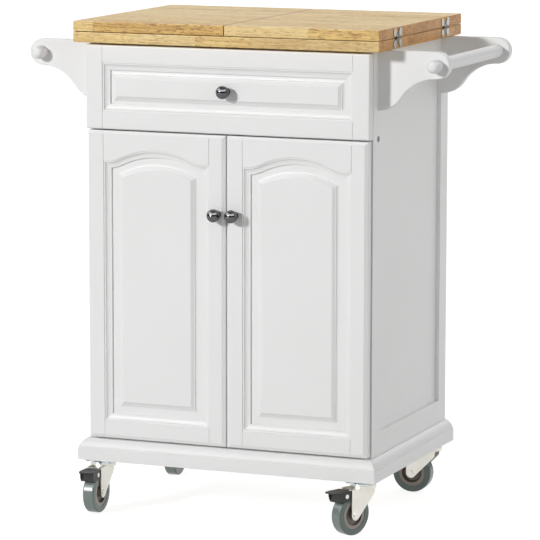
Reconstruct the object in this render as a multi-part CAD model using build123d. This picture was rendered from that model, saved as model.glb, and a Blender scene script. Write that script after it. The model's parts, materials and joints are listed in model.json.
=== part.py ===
"""Kitchen trolley with a folding wooden worktop, a drawer, two panelled doors and four casters.

The trolley stands on the floor at z = 0 and is seen with its doors towards -Y. +X is the right-hand
side, +Y the back, +Z up. While it is modelled, x = 0 and y = 0 lie at the middle of the worktop;
every piece is shifted along Y when it is written, so that the origin lies at the middle of the
footprint box. All sizes are in millimetres.
"""
from build123d import *
from math import acos, atan, atan2, cos, hypot, pi, sin, sqrt
import os

# Heights, from the floor up
plinth_height = 39.0
carcass_height = 730.0
board_thickness = 19.0
leaf_gap = 0.8

# Worktop plan and how far the pieces below stand back from its edges
board_width = 590.0
board_depth = 443.0
board_edge_radius = 1.5
leaf_seam = 1.0
fronts_setback = 9.0
carcass_back_setback = 11.5

# Leaf hinges on the end faces of the boards
leaf_hinge_inset = 93.0
leaf_hinge_waist = 22.0
leaf_hinge_lobe = 7.2
leaf_hinge_notch = 6.0
leaf_hinge_sheet = 1.2
leaf_pin_offset = 2.4
leaf_knuckle_radius = 2.0
leaf_pin_radius = 1.0
leaf_pin_play = 0.05
leaf_screw_spacing = 29.0
leaf_screw_reach = 10.5
leaf_screw_head_radius = 3.0
leaf_screw_shank_radius = 1.3
leaf_screw_length = 14.0
leaf_rest_clearance = 0.3

# Carcass
carcass_width = 548.0
side_thickness = 18.0
front_stile_width = 46.0
back_stile_width = 38.5
side_bottom_rail = 42.0
side_top_rail = 60.0
side_panel_recess = 7.5
side_panel_thickness = 5.0
side_groove_depth = 8.0
back_panel_thickness = 4.0
back_panel_setback = 3.0
back_groove_depth = 6.0
floor_thickness = 15.0
rail_thickness = 18.0
top_rail_width = 60.0
divider_width = 50.0
groove_play = 0.1

# Shelf and its pins
shelf_thickness = 15.0
shelf_height = 285.0
shelf_front_setback = 20.0
shelf_end_play = 1.0
pin_radius = 2.5
pin_in_wall = 9.0
pin_under_shelf = 8.0
pin_hole_pitch = 32.0
pin_front_setback = 28.0
pin_back_setback = 22.0
pin_rows = (-1, 0, 1)

# Plinth
plinth_side_overhang = 17.0
plinth_front_overhang = 9.5
plinth_rail_thickness = 30.0
plinth_upright = 22.5
plinth_ledge = 1.5
plinth_ledge_fall = 0.3
plinth_riser = 3.5
plinth_slope_run = 13.0
plinth_slope_radius = 30.0
caster_block_size = 70.0

# Drawer and door fronts
front_thickness = 18.0
front_gap = 2.0
drawer_top_gap = 4.0
drawer_front_height = 152.5
joint_gap = 3.0
door_bottom_gap = 3.5
door_side_setback = 2.5
drawer_stile_width = 32.0
door_stile_width = 31.0
front_rail_width = 32.0
door_crest_rail = 32.5
seam_width = 1.0
seam_depth = 0.8

# Moulding of the fronts: a step, a flat fillet and a cove, on the frames and round the raised fields
sticking_width = 13.5
sticking_step = 1.5
sticking_fillet = 3.0
sticking_depth = 6.4
step_lean = 0.3
fillet_fall = 0.2
front_panel_depth = 9.2
front_panel_thickness = 5.4
front_groove_depth = 7.0
drawer_field_inset = 28.5
door_field_inset = 37.0
field_depth = 2.6
field_slope_width = 5.0
field_slope_fall = 3.6
field_fillet = 1.8
field_step = 0.8
field_cove_width = 6.0
cove_steps = 4
drawer_edge_width = 3.0
drawer_edge_depth = 2.5
door_edge_width = 6.0
door_edge_depth = 4.0
door_edge_step = 0.8

# Arched head of the door openings: a crown between two hollow shoulders
arch_rise = 22.4
arch_crown_radius = 158.0
arch_hollow_radius = 63.0
arch_least_end = 1.0

# Knobs
knob_radius = 12.0
knob_reach = 29.0
knob_neck_radius = 4.5
knob_base_radius = 8.0
knob_base_height = 3.0
knob_screw_radius = 2.0
knob_screw_head_radius = 4.0
knob_screw_head_height = 2.2
door_knob_inset = 15.5
door_knob_drop = 142.5

# Drawer box and its runners
runner_end_margin = 10.0
runner_height = 35.0
runner_space = 12.5
runner_sheet = 1.2
runner_play = 0.4
runner_outer_depth = 10.0
drawer_back_clearance = 37.5
drawer_side_thickness = 12.0
drawer_side_height = 112.0
drawer_side_lift = 14.0
drawer_bottom_thickness = 5.0
drawer_bottom_lift = 10.0
drawer_groove_depth = 6.0

# Towel rails and their brackets
bracket_thickness = 18.0
bracket_inset = 23.0
bracket_back_inset = 22.0
bracket_root_height = 107.0
bracket_nose_radius = 24.0
bracket_nose_reach = 108.7
bracket_belly_share = 0.39
bracket_edge_radius = 2.0
towel_rail_radius = 12.0
towel_rail_proud = 25.0
towel_rail_end_radius = 9.0
bracket_screw_radius = 2.2
bracket_screw_length = 45.0
bracket_screw_head_radius = 4.5
bracket_screw_head_height = 2.4
bracket_screw_shift = 4.0
bracket_screw_heights = (41.0, 86.0)

# Connector bolt between each side and the divider rail
bolt_setback = 26.0
bolt_hole_radius = 6.2
bolt_hole_depth = 8.0
bolt_head_radius = 5.6
bolt_head_height = 4.0
bolt_socket_radius = 2.5
bolt_socket_depth = 2.5
bolt_radius = 3.0
bolt_length = 45.0

# Door hinges, seen from above: s runs inwards from the door's outer edge, t forwards from its back
hinge_inset_from_end = 85.0
cup_radius = 13.0
cup_wall = 0.8
cup_depth = 10.5
cup_edge = 4.0
cup_ear_length = 40.0
cup_ear_width = 14.0
cup_ear_sheet = 1.0
arm_pin_s = 25.0
arm_pin_t = 2.0
cup_pin_s = 9.0
cup_pin_t = 6.0
link_bulge = 3.5
link_bulge_share = 0.6
link_sheet = 2.2
link_half_height = 4.5
link_eye_radius = 2.6
hinge_pin_radius = 1.2
hinge_pin_play = 0.05
arm_cheek = 1.0
arm_cheek_play = 0.3
arm_eye_radius = 2.4
arm_plate_sheet = 3.0
arm_plate_height = 32.0
arm_start = 12.0
arm_length = 34.0
arm_screw_offset = 11.0
arm_screw_length = 16.0
cup_screw_offset = 16.0
cup_screw_length = 12.0
hinge_screw_head_radius = 3.0
hinge_screw_radius = 1.6

# Casters, each seen in its own frame: u runs from the swivel axis towards the axle
caster_side_inset = 35.0
caster_end_inset = 36.0
caster_trail = 32.0
wheel_radius = 37.5
tyre_width = 22.0
tyre_shoulder = 3.0
rim_radius = 26.0
rim_inner_radius = 19.5
rim_recess = 1.0
dish_depth = 5.0
boss_radius = 8.0
boss_draft = 1.0
web_ring_step = 2.0
boss_half_width = 12.2
axle_radius = 3.0
axle_play = 0.06
axle_head_radius = 4.6
axle_head_height = 1.4
leg_play = 0.3
leg_sheet = 2.0
leg_tip_radius = 9.5
leg_front_reach = 16.0
leg_knee_reach = 14.5
leg_knee_drop = 11.0
tyre_to_crown = 7.5
crown_sheet = 2.5
lower_cup_height = 3.2
race_radius = 23.5
race_neck_radius = 19.5
race_gap = 0.3
race_lip = 3.0
plate_size = 56.0
plate_sheet = 2.5
plate_corner_radius = 6.0
plate_hole_inset = 7.0
plate_hole_radius = 2.7
kingpin_radius = 4.5
kingpin_head_radius = 7.0
kingpin_head_height = 2.6
kingpin_play = 0.08
caster_screw_radius = 2.2
caster_screw_length = 22.0
caster_screw_head_radius = 4.5
caster_screw_head_height = 2.4

# Brake pedals of the two front casters, placed from the axle, the crown and their own pivot
pedal_pivot_out = 22.0
pedal_pivot_drop = 8.0
pedal_heel = 8.0
pedal_length = 30.5
pedal_taper = 10.0
pedal_tip_width = 21.0
tread_drop = 1.1
pedal_sheet = 2.6
pedal_play = 0.06
shoe_out = 9.0
shoe_width = 7.0
shoe_drop = 10.5
cheek_heel = 11.0
cheek_drop = 10.5
cheek_sheet = 2.2
cheek_play = 0.3
ear_sheet = 2.0
ear_to_leg = 1.0
ear_eye_radius = 4.4
ear_root = 4.0
ear_drop = 5.3
ear_top_gap = 0.1
rivet_radius = 2.5
rivet_head_radius = 4.0
rivet_head_height = 1.2

# Which way each caster points, as an angle from +X towards +Y, and which have a brake
heading_angles = {"front_left": -90.0, "front_right": -115.0, "back_left": -87.0, "back_right": 180.0}
braked_casters = ("front_left", "front_right")

# Levels and faces that follow from the sizes above
crown_low = 2 * wheel_radius + tyre_to_crown
crown_top = crown_low + crown_sheet
upper_cup_low = crown_top + lower_cup_height + race_gap
plate_low = upper_cup_low + 2 * race_lip
caster_height = plate_low + plate_sheet
pedal_pivot_u = caster_trail + pedal_pivot_out
pedal_pivot_z = crown_low - pedal_pivot_drop
pedal_reach = pedal_pivot_u + pedal_length
plinth_top = caster_height + plinth_height
board_bottom = plinth_top + carcass_height
board_top = board_bottom + board_thickness
leaf_bottom = board_top + leaf_gap
leaf_top = leaf_bottom + board_thickness
board_front = -board_depth / 2
board_back = board_depth / 2
face_y = board_front + fronts_setback
fronts_back = face_y + front_thickness
carcass_front = fronts_back + front_gap
carcass_back = board_back - carcass_back_setback
side_outer = carcass_width / 2
side_inner = side_outer - side_thickness
drawer_top = board_bottom - drawer_top_gap
drawer_low = drawer_top - drawer_front_height
door_top = drawer_low - joint_gap
door_low = plinth_top + door_bottom_gap
door_outer = side_outer - door_side_setback
door_inner = joint_gap / 2
divider_middle = drawer_low - joint_gap / 2
back_panel_front = carcass_back - back_panel_setback - back_panel_thickness
plinth_outer = side_outer + plinth_side_overhang
plinth_front = face_y - plinth_front_overhang
swivel_x = plinth_outer - caster_side_inset
front_swivel_y = plinth_front + caster_end_inset
back_swivel_y = carcass_back - caster_end_inset
footprint_shift = -(front_swivel_y - pedal_reach + board_back) / 2

MIRROR = Plane.YZ


def block(x0, x1, y0, y1, z0, z1):
    """Box between two corners."""
    size = Box(abs(x1 - x0), abs(y1 - y0), abs(z1 - z0))
    return Pos((x0 + x1) / 2, (y0 + y1) / 2, (z0 + z1) / 2) * size


def rod(start, direction, radius, length):
    """Round bar from a start point along a direction."""
    return Solid.make_cylinder(radius, length, Plane(origin=start, z_dir=direction))


def cone(start, direction, radius, end_radius, length):
    """Tapered bar from a start point along a direction."""
    return Solid.make_cone(radius, end_radius, length, Plane(origin=start, z_dir=direction))


def prism(points, plane, low, high):
    """Straight-sided outline in a plane, pushed along its normal from low to high."""
    outline = Face(Wire.make_polygon([plane.from_local_coords((a, b, low)) for a, b in points]))
    return Solid.extrude(outline, plane.z_dir * (high - low))


def plan(points, low, high):
    """Prism of an outline seen from above."""
    return prism(points, Plane.XY, low, high)


def cut(shape, tools):
    """A shape with some others taken away."""
    for tool in tools:
        shape = shape - tool
    return shape


def both_sides(shapes):
    """Right-hand pieces and their mirror images."""
    pieces = list(shapes)
    return pieces + [shape.mirror(MIRROR) for shape in pieces]


def solids_of(shapes):
    """All separate solids of some shapes, flat in one list."""
    found = []
    for shape in shapes:
        found += list(shape.solids())
    return found


def write(node, shapes):
    """Write one node, shifted so that the origin is the middle of the footprint."""
    placed = [solid.moved(Location((0, footprint_shift, 0))) for solid in solids_of(shapes)]
    export_step(Compound(children=placed), f"parts/{node}.step")


def eased_board(x0, x1, z0, z1):
    """A worktop board or leaf with slightly rounded edges."""
    board = block(x0, x1, board_front, board_back, z0, z1)
    return fillet(board.edges(), board_edge_radius)


# Leaf hinges on the end faces of the worktop

hinge_ys = (board_front + leaf_hinge_inset, board_back - leaf_hinge_inset)
end_face = board_width / 2
leaf_pin_x = end_face + leaf_pin_offset
leaf_pin_z = board_top + leaf_gap / 2
knuckle_count = 5


def leaf_screws(side):
    """Countersunk screws of the right-hand hinge flaps: side is 1 on the leaf, -1 on the board."""
    face = end_face + leaf_hinge_sheet
    z = leaf_pin_z + side * leaf_screw_reach
    screws = []
    for hinge_y in hinge_ys:
        for y in (hinge_y - leaf_screw_spacing / 2, hinge_y + leaf_screw_spacing / 2):
            head = cone((face, y, z), (-1, 0, 0), leaf_screw_head_radius, leaf_screw_shank_radius,
                        leaf_hinge_sheet)
            shank = rod((face, y, z), (-1, 0, 0), leaf_screw_shank_radius, leaf_screw_length)
            screws.append(head + shank)
    return screws


def hinge_flap(y, side):
    """One waisted flap with its share of the knuckles, on the right end face."""
    root = leaf_gap / 2
    half_waist = leaf_hinge_waist / 2
    lobe_y = leaf_screw_spacing / 2
    reach = leaf_hinge_lobe * sin(pi / 4)
    neck = root + leaf_knuckle_radius
    half_outline = [(half_waist, root), (half_waist, neck), (lobe_y + reach, leaf_screw_reach - reach),
                    (lobe_y - reach, leaf_screw_reach + reach), (0, leaf_hinge_notch)]
    outline = half_outline + [(-a, b) for a, b in reversed(half_outline[:-1])]
    plane = Plane(origin=(end_face, y, leaf_pin_z), x_dir=(0, 1, 0), z_dir=(1, 0, 0))
    flap = prism([(a, side * b) for a, b in outline], plane, 0, leaf_hinge_sheet)
    for offset in (-lobe_y, lobe_y):
        flap += rod((end_face, y + offset, leaf_pin_z + side * leaf_screw_reach), (1, 0, 0), leaf_hinge_lobe,
                    leaf_hinge_sheet)
    own_share = 0 if side < 0 else 1
    share = leaf_hinge_waist / knuckle_count
    play = leaf_gap / 4
    for index in range(knuckle_count):
        start = y - half_waist + index * share
        if index % 2 == own_share:
            flap += rod((leaf_pin_x, start + play, leaf_pin_z), (0, 1, 0), leaf_knuckle_radius,
                        share - 2 * play)
        else:
            flap -= rod((leaf_pin_x, start, leaf_pin_z), (0, 1, 0), leaf_knuckle_radius + play, share)
    bore = leaf_pin_radius if side < 0 else leaf_pin_radius + leaf_pin_play
    return flap - rod((leaf_pin_x, y - half_waist, leaf_pin_z), (0, 1, 0), bore, leaf_hinge_waist)


def leaf_pin(y):
    """Pin through the five knuckles of one leaf hinge."""
    return rod((leaf_pin_x, y - leaf_hinge_waist / 2, leaf_pin_z), (0, 1, 0), leaf_pin_radius,
               leaf_hinge_waist)


fixed_leaf_screws = leaf_screws(-1)
moving_leaf_screws = leaf_screws(1)
fixed_flaps = [cut(hinge_flap(y, -1), fixed_leaf_screws) for y in hinge_ys]
moving_flaps = [cut(hinge_flap(y, 1), moving_leaf_screws) for y in hinge_ys]
leaf_pins = [leaf_pin(y) for y in hinge_ys]

worktop_board = cut(eased_board(-end_face, end_face, board_bottom, board_top),
                    both_sides(fixed_leaf_screws))
leaf_right = cut(eased_board(leaf_seam / 2, end_face, leaf_bottom, leaf_top), moving_leaf_screws)

# Towel rails and their curved brackets

bracket_top = board_bottom - leaf_rest_clearance
bracket_low = board_bottom - bracket_root_height
nose_x = side_outer + bracket_nose_reach
nose_z = bracket_top - bracket_nose_radius
nose_low = nose_z - bracket_nose_radius
bracket_turn = 2 * atan((nose_low - bracket_low) / bracket_nose_reach)
curve_radii = bracket_nose_reach / sin(bracket_turn)
belly_radius = curve_radii * bracket_belly_share
hollow_radius = curve_radii - belly_radius
front_bracket_y = carcass_front + bracket_inset
back_bracket_y = carcass_back - bracket_back_inset - bracket_thickness
rail_start_y = front_bracket_y - towel_rail_proud
rail_end_y = back_bracket_y + bracket_thickness + towel_rail_proud


def belly(turn):
    """Point on the full curve next to the cabinet."""
    return (side_outer + belly_radius * sin(turn), bracket_low + belly_radius * (1 - cos(turn)))


def hollow(turn):
    """Point on the hollow curve next to the nose."""
    return (nose_x - hollow_radius * sin(turn), nose_low - hollow_radius * (1 - cos(turn)))


def towel_bracket(front_y):
    """One right-hand bracket, from its front face backwards."""
    def at(point):
        return (point[0], front_y, point[1])

    root = (side_outer, bracket_low)
    edges = [
        Edge.make_line(at((side_outer, bracket_top)), at(root)),
        Edge.make_three_point_arc(at(root), at(belly(bracket_turn / 2)), at(belly(bracket_turn))),
        Edge.make_three_point_arc(at(belly(bracket_turn)), at(hollow(bracket_turn / 2)),
                                  at((nose_x, nose_low))),
        Edge.make_three_point_arc(at((nose_x, nose_low)), at((nose_x + bracket_nose_radius, nose_z)),
                                  at((nose_x, bracket_top))),
        Edge.make_line(at((nose_x, bracket_top)), at((side_outer, bracket_top))),
    ]
    body = Solid.extrude(Face(Wire(edges)), Vector(0, bracket_thickness, 0))
    outer = [edge for edge in body.edges() if edge.geom_type == GeomType.CIRCLE]
    return fillet(outer, bracket_edge_radius)


towel_rail = rod((nose_x, rail_start_y, nose_z), (0, 1, 0), towel_rail_radius, rail_end_y - rail_start_y)
towel_rail = fillet(towel_rail.edges().filter_by(GeomType.CIRCLE), towel_rail_end_radius)


def bracket_screws(front_y, shift):
    """Screws from inside the cabinet into one bracket."""
    y = front_y + bracket_thickness / 2 + shift
    screws = []
    for height in bracket_screw_heights:
        start = (side_inner, y, bracket_low + height)
        head = cone(start, (1, 0, 0), bracket_screw_head_radius, bracket_screw_radius,
                    bracket_screw_head_height)
        screws.append(head + rod(start, (1, 0, 0), bracket_screw_radius, bracket_screw_length))
    return screws


front_bracket_screws = bracket_screws(front_bracket_y, -bracket_screw_shift)
back_bracket_screws = bracket_screws(back_bracket_y, bracket_screw_shift)
all_bracket_screws = front_bracket_screws + back_bracket_screws
bracket_front = cut(towel_bracket(front_bracket_y), front_bracket_screws + [towel_rail])
bracket_back = cut(towel_bracket(back_bracket_y), back_bracket_screws + [towel_rail])

# Side frames with their panels

stile_front_inner = carcass_front + front_stile_width
stile_back_inner = carcass_back - back_stile_width
side_bottom_inner = plinth_top + side_bottom_rail
side_top_inner = board_bottom - side_top_rail
panel_outer_x = side_outer - side_panel_recess
panel_inner_x = panel_outer_x - side_panel_thickness

side_groove = block(panel_inner_x - groove_play, panel_outer_x + groove_play,
                    stile_front_inner - side_groove_depth, stile_back_inner + side_groove_depth,
                    side_bottom_inner - side_groove_depth, side_top_inner + side_groove_depth)
back_groove = block(side_inner, side_inner + back_groove_depth, back_panel_front - groove_play,
                    back_panel_front + back_panel_thickness + groove_play, plinth_top, board_bottom)

# Shelf pins and the rows of holes they may move to

shelf_low = plinth_top + shelf_height
pin_ys = (carcass_front + pin_front_setback, carcass_back - pin_back_setback)


def pin_hole(y, row):
    """Hole for a shelf pin in the right-hand side frame."""
    z = shelf_low - pin_radius + row * pin_hole_pitch
    return rod((side_inner, y, z), (1, 0, 0), pin_radius, pin_in_wall)


pin_holes = [pin_hole(y, row) for y in pin_ys for row in pin_rows]
shelf_pins = [rod((side_inner - pin_under_shelf, y, shelf_low - pin_radius), (1, 0, 0), pin_radius,
                  pin_under_shelf + pin_in_wall) for y in pin_ys]
shelf_half = side_inner - shelf_end_play
shelf = block(-shelf_half, shelf_half, carcass_front + shelf_front_setback,
              back_panel_front - shelf_end_play, shelf_low, shelf_low + shelf_thickness)

# Connector bolts into the divider rail

divider_low = divider_middle - rail_thickness / 2
divider_high = divider_middle + rail_thickness / 2
bolt_start = (side_outer - bolt_hole_depth, carcass_front + bolt_setback, divider_middle)
bolt_head_start = (side_outer - bolt_hole_depth + bolt_head_height, bolt_start[1], divider_middle)
side_bolt = (rod(bolt_head_start, (-1, 0, 0), bolt_head_radius, bolt_head_height)
             + rod(bolt_start, (-1, 0, 0), bolt_radius, bolt_length))
hexagon = [(bolt_socket_radius * cos(turn * pi / 3), bolt_socket_radius * sin(turn * pi / 3))
           for turn in range(6)]
bolt_socket = prism(hexagon, Plane(origin=bolt_head_start, x_dir=(0, 1, 0), z_dir=(-1, 0, 0)), 0,
                    bolt_socket_depth)
side_bolt = side_bolt - bolt_socket
bolt_hole = rod((side_outer, bolt_start[1], divider_middle), (-1, 0, 0), bolt_hole_radius,
                bolt_hole_depth)

divider_rail = block(-side_inner, side_inner, carcass_front, carcass_front + divider_width,
                     divider_low, divider_high)
divider_rail = cut(divider_rail, both_sides([side_bolt]))

side_cuts = [side_groove, back_groove, bolt_hole, side_bolt] + pin_holes + all_bracket_screws
side_pieces = [
    block(side_inner, side_outer, carcass_front, stile_front_inner, plinth_top, board_bottom),
    block(side_inner, side_outer, stile_back_inner, carcass_back, plinth_top, board_bottom),
    block(side_inner, side_outer, stile_front_inner, stile_back_inner, plinth_top, side_bottom_inner),
    block(side_inner, side_outer, stile_front_inner, stile_back_inner, side_top_inner, board_bottom),
]
side_right = [cut(piece, side_cuts) for piece in side_pieces]
side_panel_right = block(panel_inner_x, panel_outer_x, stile_front_inner - side_groove_depth + groove_play,
                         stile_back_inner + side_groove_depth - groove_play,
                         side_bottom_inner - side_groove_depth + groove_play,
                         side_top_inner + side_groove_depth - groove_play)

# Back, floor and top rails of the carcass

back_half = side_inner + back_groove_depth - groove_play
back_panel = block(-back_half, back_half, back_panel_front, back_panel_front + back_panel_thickness,
                   plinth_top, board_bottom)
floor_panel = block(-side_inner, side_inner, carcass_front, back_panel_front, plinth_top,
                    plinth_top + floor_thickness)
top_rail_low = board_bottom - rail_thickness
top_rails = [
    block(-side_inner, side_inner, carcass_front, carcass_front + top_rail_width, top_rail_low,
          board_bottom),
    block(-side_inner, side_inner, back_panel_front - top_rail_width, back_panel_front, top_rail_low,
          board_bottom),
]

# Plinth: moulded front and side rails mitred at the front corners, plain back rail, corner blocks

plinth_inner = plinth_outer - plinth_rail_thickness
plinth_front_inner = plinth_front + plinth_rail_thickness
plinth_back_inner = carcass_back - plinth_rail_thickness
upright_top = caster_height + plinth_upright
slope_low = upright_top + plinth_riser


def plinth_section(at):
    """Cross-section of a moulded rail: at maps (distance in from the outer face, height) to space."""
    run = plinth_slope_run - plinth_ledge
    rise = plinth_top - slope_low
    chord = hypot(run, rise)
    sagitta = plinth_slope_radius - sqrt(plinth_slope_radius**2 - (chord / 2)**2)
    middle = (plinth_ledge + run / 2 - sagitta * rise / chord, slope_low + rise / 2 + sagitta * run / chord)
    inner = plinth_rail_thickness
    edges = [
        Edge.make_line(at((inner, plinth_top)), at((inner, caster_height))),
        Edge.make_line(at((inner, caster_height)), at((0, caster_height))),
        Edge.make_line(at((0, caster_height)), at((0, upright_top))),
        Edge.make_line(at((0, upright_top)), at((plinth_ledge, upright_top + plinth_ledge_fall))),
        Edge.make_line(at((plinth_ledge, upright_top + plinth_ledge_fall)), at((plinth_ledge, slope_low))),
        Edge.make_three_point_arc(at((plinth_ledge, slope_low)), at(middle),
                                  at((plinth_slope_run, plinth_top))),
        Edge.make_line(at((plinth_slope_run, plinth_top)), at((inner, plinth_top))),
    ]
    return Face(Wire(edges))


front_bar = Solid.extrude(plinth_section(lambda p: (-plinth_outer, plinth_front + p[0], p[1])),
                          Vector(2 * plinth_outer, 0, 0))
front_mitre = plan([(-plinth_outer, plinth_front), (plinth_outer, plinth_front),
                    (plinth_inner, plinth_front_inner), (-plinth_inner, plinth_front_inner)],
                   caster_height, plinth_top)
side_bar = Solid.extrude(plinth_section(lambda p: (plinth_outer - p[0], plinth_front, p[1])),
                         Vector(0, carcass_back - plinth_front, 0))
side_mitre = plan([(plinth_outer, plinth_front), (plinth_outer, carcass_back),
                   (plinth_inner, carcass_back), (plinth_inner, plinth_front_inner)],
                  caster_height, plinth_top)
plinth_side = side_bar & side_mitre
plinth_rails = [front_bar & front_mitre, plinth_side, plinth_side.mirror(MIRROR),
                block(-plinth_inner, plinth_inner, plinth_back_inner, carcass_back, caster_height,
                      plinth_top)]
block_inner = plinth_inner - caster_block_size
caster_blocks = both_sides([
    block(block_inner, plinth_inner, plinth_front_inner, plinth_front_inner + caster_block_size,
          caster_height, plinth_top),
    block(block_inner, plinth_inner, plinth_back_inner - caster_block_size, plinth_back_inner,
          caster_height, plinth_top),
])

# Panelled fronts: outlines are drawn in from an opening's edge and set behind the front face


def square_outline(x0, x1, z0, z1):
    """Maker of rectangular outlines: inset from the edge, depth behind the face."""
    def outline(inset, depth):
        y = face_y + depth
        return Wire.make_polygon([(x0 + inset, y, z0 + inset), (x1 - inset, y, z0 + inset),
                                  (x1 - inset, y, z1 - inset), (x0 + inset, y, z1 - inset)])
    return outline


arch_radii = arch_crown_radius + arch_hollow_radius
arch_low_point = sqrt(arch_radii**2 - (arch_radii - arch_rise)**2)
arch_turn = arch_crown_radius * arch_low_point / arch_radii


def arch_drop(x):
    """How far the arched head lies below its crest at a distance from its middle."""
    if x <= arch_turn:
        return arch_crown_radius - sqrt(arch_crown_radius**2 - x**2)
    rise = arch_hollow_radius - sqrt(arch_hollow_radius**2 - (x - arch_low_point)**2)
    return arch_rise - rise


def arched_outline(x0, x1, z0, crest):
    """Maker of outlines with an arched head, whose inner lines are the same curve moved down."""
    def outline(inset, depth):
        y = face_y + depth
        middle = (x0 + x1) / 2
        half = (x1 - x0) / 2 - inset
        turn = min(arch_turn, half - arch_least_end)

        def head(x):
            return (middle + x, y, crest - inset - arch_drop(abs(x)))

        shoulder = (turn + half) / 2
        low_left = (middle - half, y, z0 + inset)
        low_right = (middle + half, y, z0 + inset)
        return Wire([
            Edge.make_line(low_left, low_right),
            Edge.make_line(low_right, head(half)),
            Edge.make_three_point_arc(head(half), head(shoulder), head(turn)),
            Edge.make_three_point_arc(head(turn), head(0), head(-turn)),
            Edge.make_three_point_arc(head(-turn), head(-shoulder), head(-half)),
            Edge.make_line(head(-half), low_left),
        ])
    return outline


def layers(outline, profile):
    """Solids between the neighbouring (inset, depth) steps of a profile."""
    found = []
    for (inset0, depth0), (inset1, depth1) in zip(profile, profile[1:]):
        if inset0 == inset1:
            found.append(Solid.extrude(Face(outline(inset0, depth0)), Vector(0, depth1 - depth0, 0)))
        else:
            found.append(Solid.make_loft([outline(inset0, depth0), outline(inset1, depth1)], ruled=True))
    return found


def joined(shapes):
    """One solid from pieces that touch."""
    whole = shapes[0]
    for shape in shapes[1:]:
        whole = whole + shape
    return whole


cove_turns = [pi / 2 * step / cove_steps for step in range(cove_steps + 1)]
cove_start = sticking_step + fillet_fall
sticking_profile = [(0, 0), (step_lean, sticking_step)]
for turn in cove_turns:
    sticking_profile.append((sticking_width - (sticking_width - sticking_fillet) * cos(turn),
                             cove_start + (sticking_depth - cove_start) * sin(turn)))
sticking_profile.append((sticking_width, front_panel_depth))
groove_inset = sticking_width - front_groove_depth
groove_end = front_panel_depth + front_panel_thickness + groove_play
panel_inset = groove_inset + groove_play
panel_front = front_panel_depth + groove_play


def opening_tools(outline):
    """What is taken out of a front for its moulded opening, the panel's groove and the back."""
    return (layers(outline, sticking_profile)
            + layers(outline, [(groove_inset, front_panel_depth), (groove_inset, groove_end)])
            + layers(outline, [(sticking_width, groove_end), (sticking_width, front_thickness)]))


def raised_panel(outline, field_inset):
    """Loose panel whose raised field stands above a slope, a flat fillet, a step and a cove."""
    slope_start = field_inset - field_slope_width
    fillet_start = slope_start - field_fillet
    slope_foot = field_depth + field_slope_fall
    cove_top = slope_foot + fillet_fall + field_step
    profile = [(fillet_start - field_cove_width * (1 - sin(turn)),
                cove_top + (panel_front - cove_top) * cos(turn)) for turn in cove_turns]
    profile += [(fillet_start + step_lean, slope_foot + fillet_fall), (slope_start, slope_foot),
                (field_inset, field_depth)]
    sheet = layers(outline, [(panel_inset, panel_front), (panel_inset, groove_end - groove_play)])
    return joined(sheet + layers(outline, profile))


def upright(points):
    """Prism through the whole thickness of a front, from an outline seen from the front."""
    plane = Plane(origin=(0, face_y, 0), x_dir=(1, 0, 0), z_dir=(0, -1, 0))
    return prism(points, plane, -front_thickness, 0)


def seam(x, low, high):
    """Fine V along the joint between a stile and a rail."""
    half = seam_width / 2
    return plan([(x - half, face_y), (x + half, face_y), (x, face_y + seam_depth)], low, high)


def front_frame(corners, opening, outline, edge_profile, head_end, head_inner):
    """Stiles and rails of one front, mitred through the moulding at the opening's corners."""
    x0, x1, z0, z1 = corners
    left, right, low = opening
    edged = joined(layers(square_outline(x0, x1, z0, z1), edge_profile))
    inner_left = left + sticking_width
    inner_right = right - sticking_width
    inner_low = low + sticking_width
    shapes = [
        [(x0, z0), (left, z0), (left, low), (inner_left, inner_low), (inner_left, head_inner),
         (left, head_end), (left, z1), (x0, z1)],
        [(x1, z0), (right, z0), (right, low), (inner_right, inner_low), (inner_right, head_inner),
         (right, head_end), (right, z1), (x1, z1)],
        [(left, z0), (right, z0), (right, low), (inner_right, inner_low), (inner_left, inner_low),
         (left, low)],
        [(left, z1), (right, z1), (right, head_end), (inner_right, head_inner),
         (inner_left, head_inner), (left, head_end)],
    ]
    tools = opening_tools(outline)
    tools += [seam(x, low_z, high_z) for x in (left, right) for low_z, high_z in ((z0, low), (head_end, z1))]
    return [cut(edged & upright(points), tools) for points in shapes]


def rounded_edge(width, depth):
    """Edge profile of a quarter ellipse, from the face to the square edge."""
    steps = 4
    turns = [pi / 2 * step / steps for step in range(steps + 1)]
    curve = [(width * (1 - sin(turn)), depth * (1 - cos(turn))) for turn in turns]
    return curve + [(0, front_thickness)]


# Drawer front

drawer_left = side_outer - drawer_stile_width
drawer_opening_low = drawer_low + front_rail_width
drawer_opening_high = drawer_top - front_rail_width
drawer_outline = square_outline(-drawer_left, drawer_left, drawer_opening_low, drawer_opening_high)
drawer_frame = front_frame((-side_outer, side_outer, drawer_low, drawer_top),
                           (-drawer_left, drawer_left, drawer_opening_low), drawer_outline,
                           rounded_edge(drawer_edge_width, drawer_edge_depth), drawer_opening_high,
                           drawer_opening_high - sticking_width)
drawer_panel = raised_panel(drawer_outline, drawer_field_inset)

# Right-hand door

door_left_edge = door_inner + door_stile_width
door_right_edge = door_outer - door_stile_width
door_opening_low = door_low + front_rail_width
door_crest = door_top - door_crest_rail
door_outline = arched_outline(door_left_edge, door_right_edge, door_opening_low, door_crest)
opening_half = (door_right_edge - door_left_edge) / 2
door_edge_profile = [(door_edge_width, 0), (door_edge_width - door_edge_step, door_edge_step),
                     (0, door_edge_depth), (0, front_thickness)]
door_frame = front_frame((door_inner, door_outer, door_low, door_top),
                         (door_left_edge, door_right_edge, door_opening_low), door_outline,
                         door_edge_profile, door_crest - arch_drop(opening_half),
                         door_crest - sticking_width - arch_drop(opening_half - sticking_width))
door_panel = raised_panel(door_outline, door_field_inset)

# Knobs: a turned ball on a neck, held by a screw from behind

ball_centre = knob_reach - knob_radius
neck_end = ball_centre - sqrt(knob_radius**2 - knob_neck_radius**2)


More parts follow.
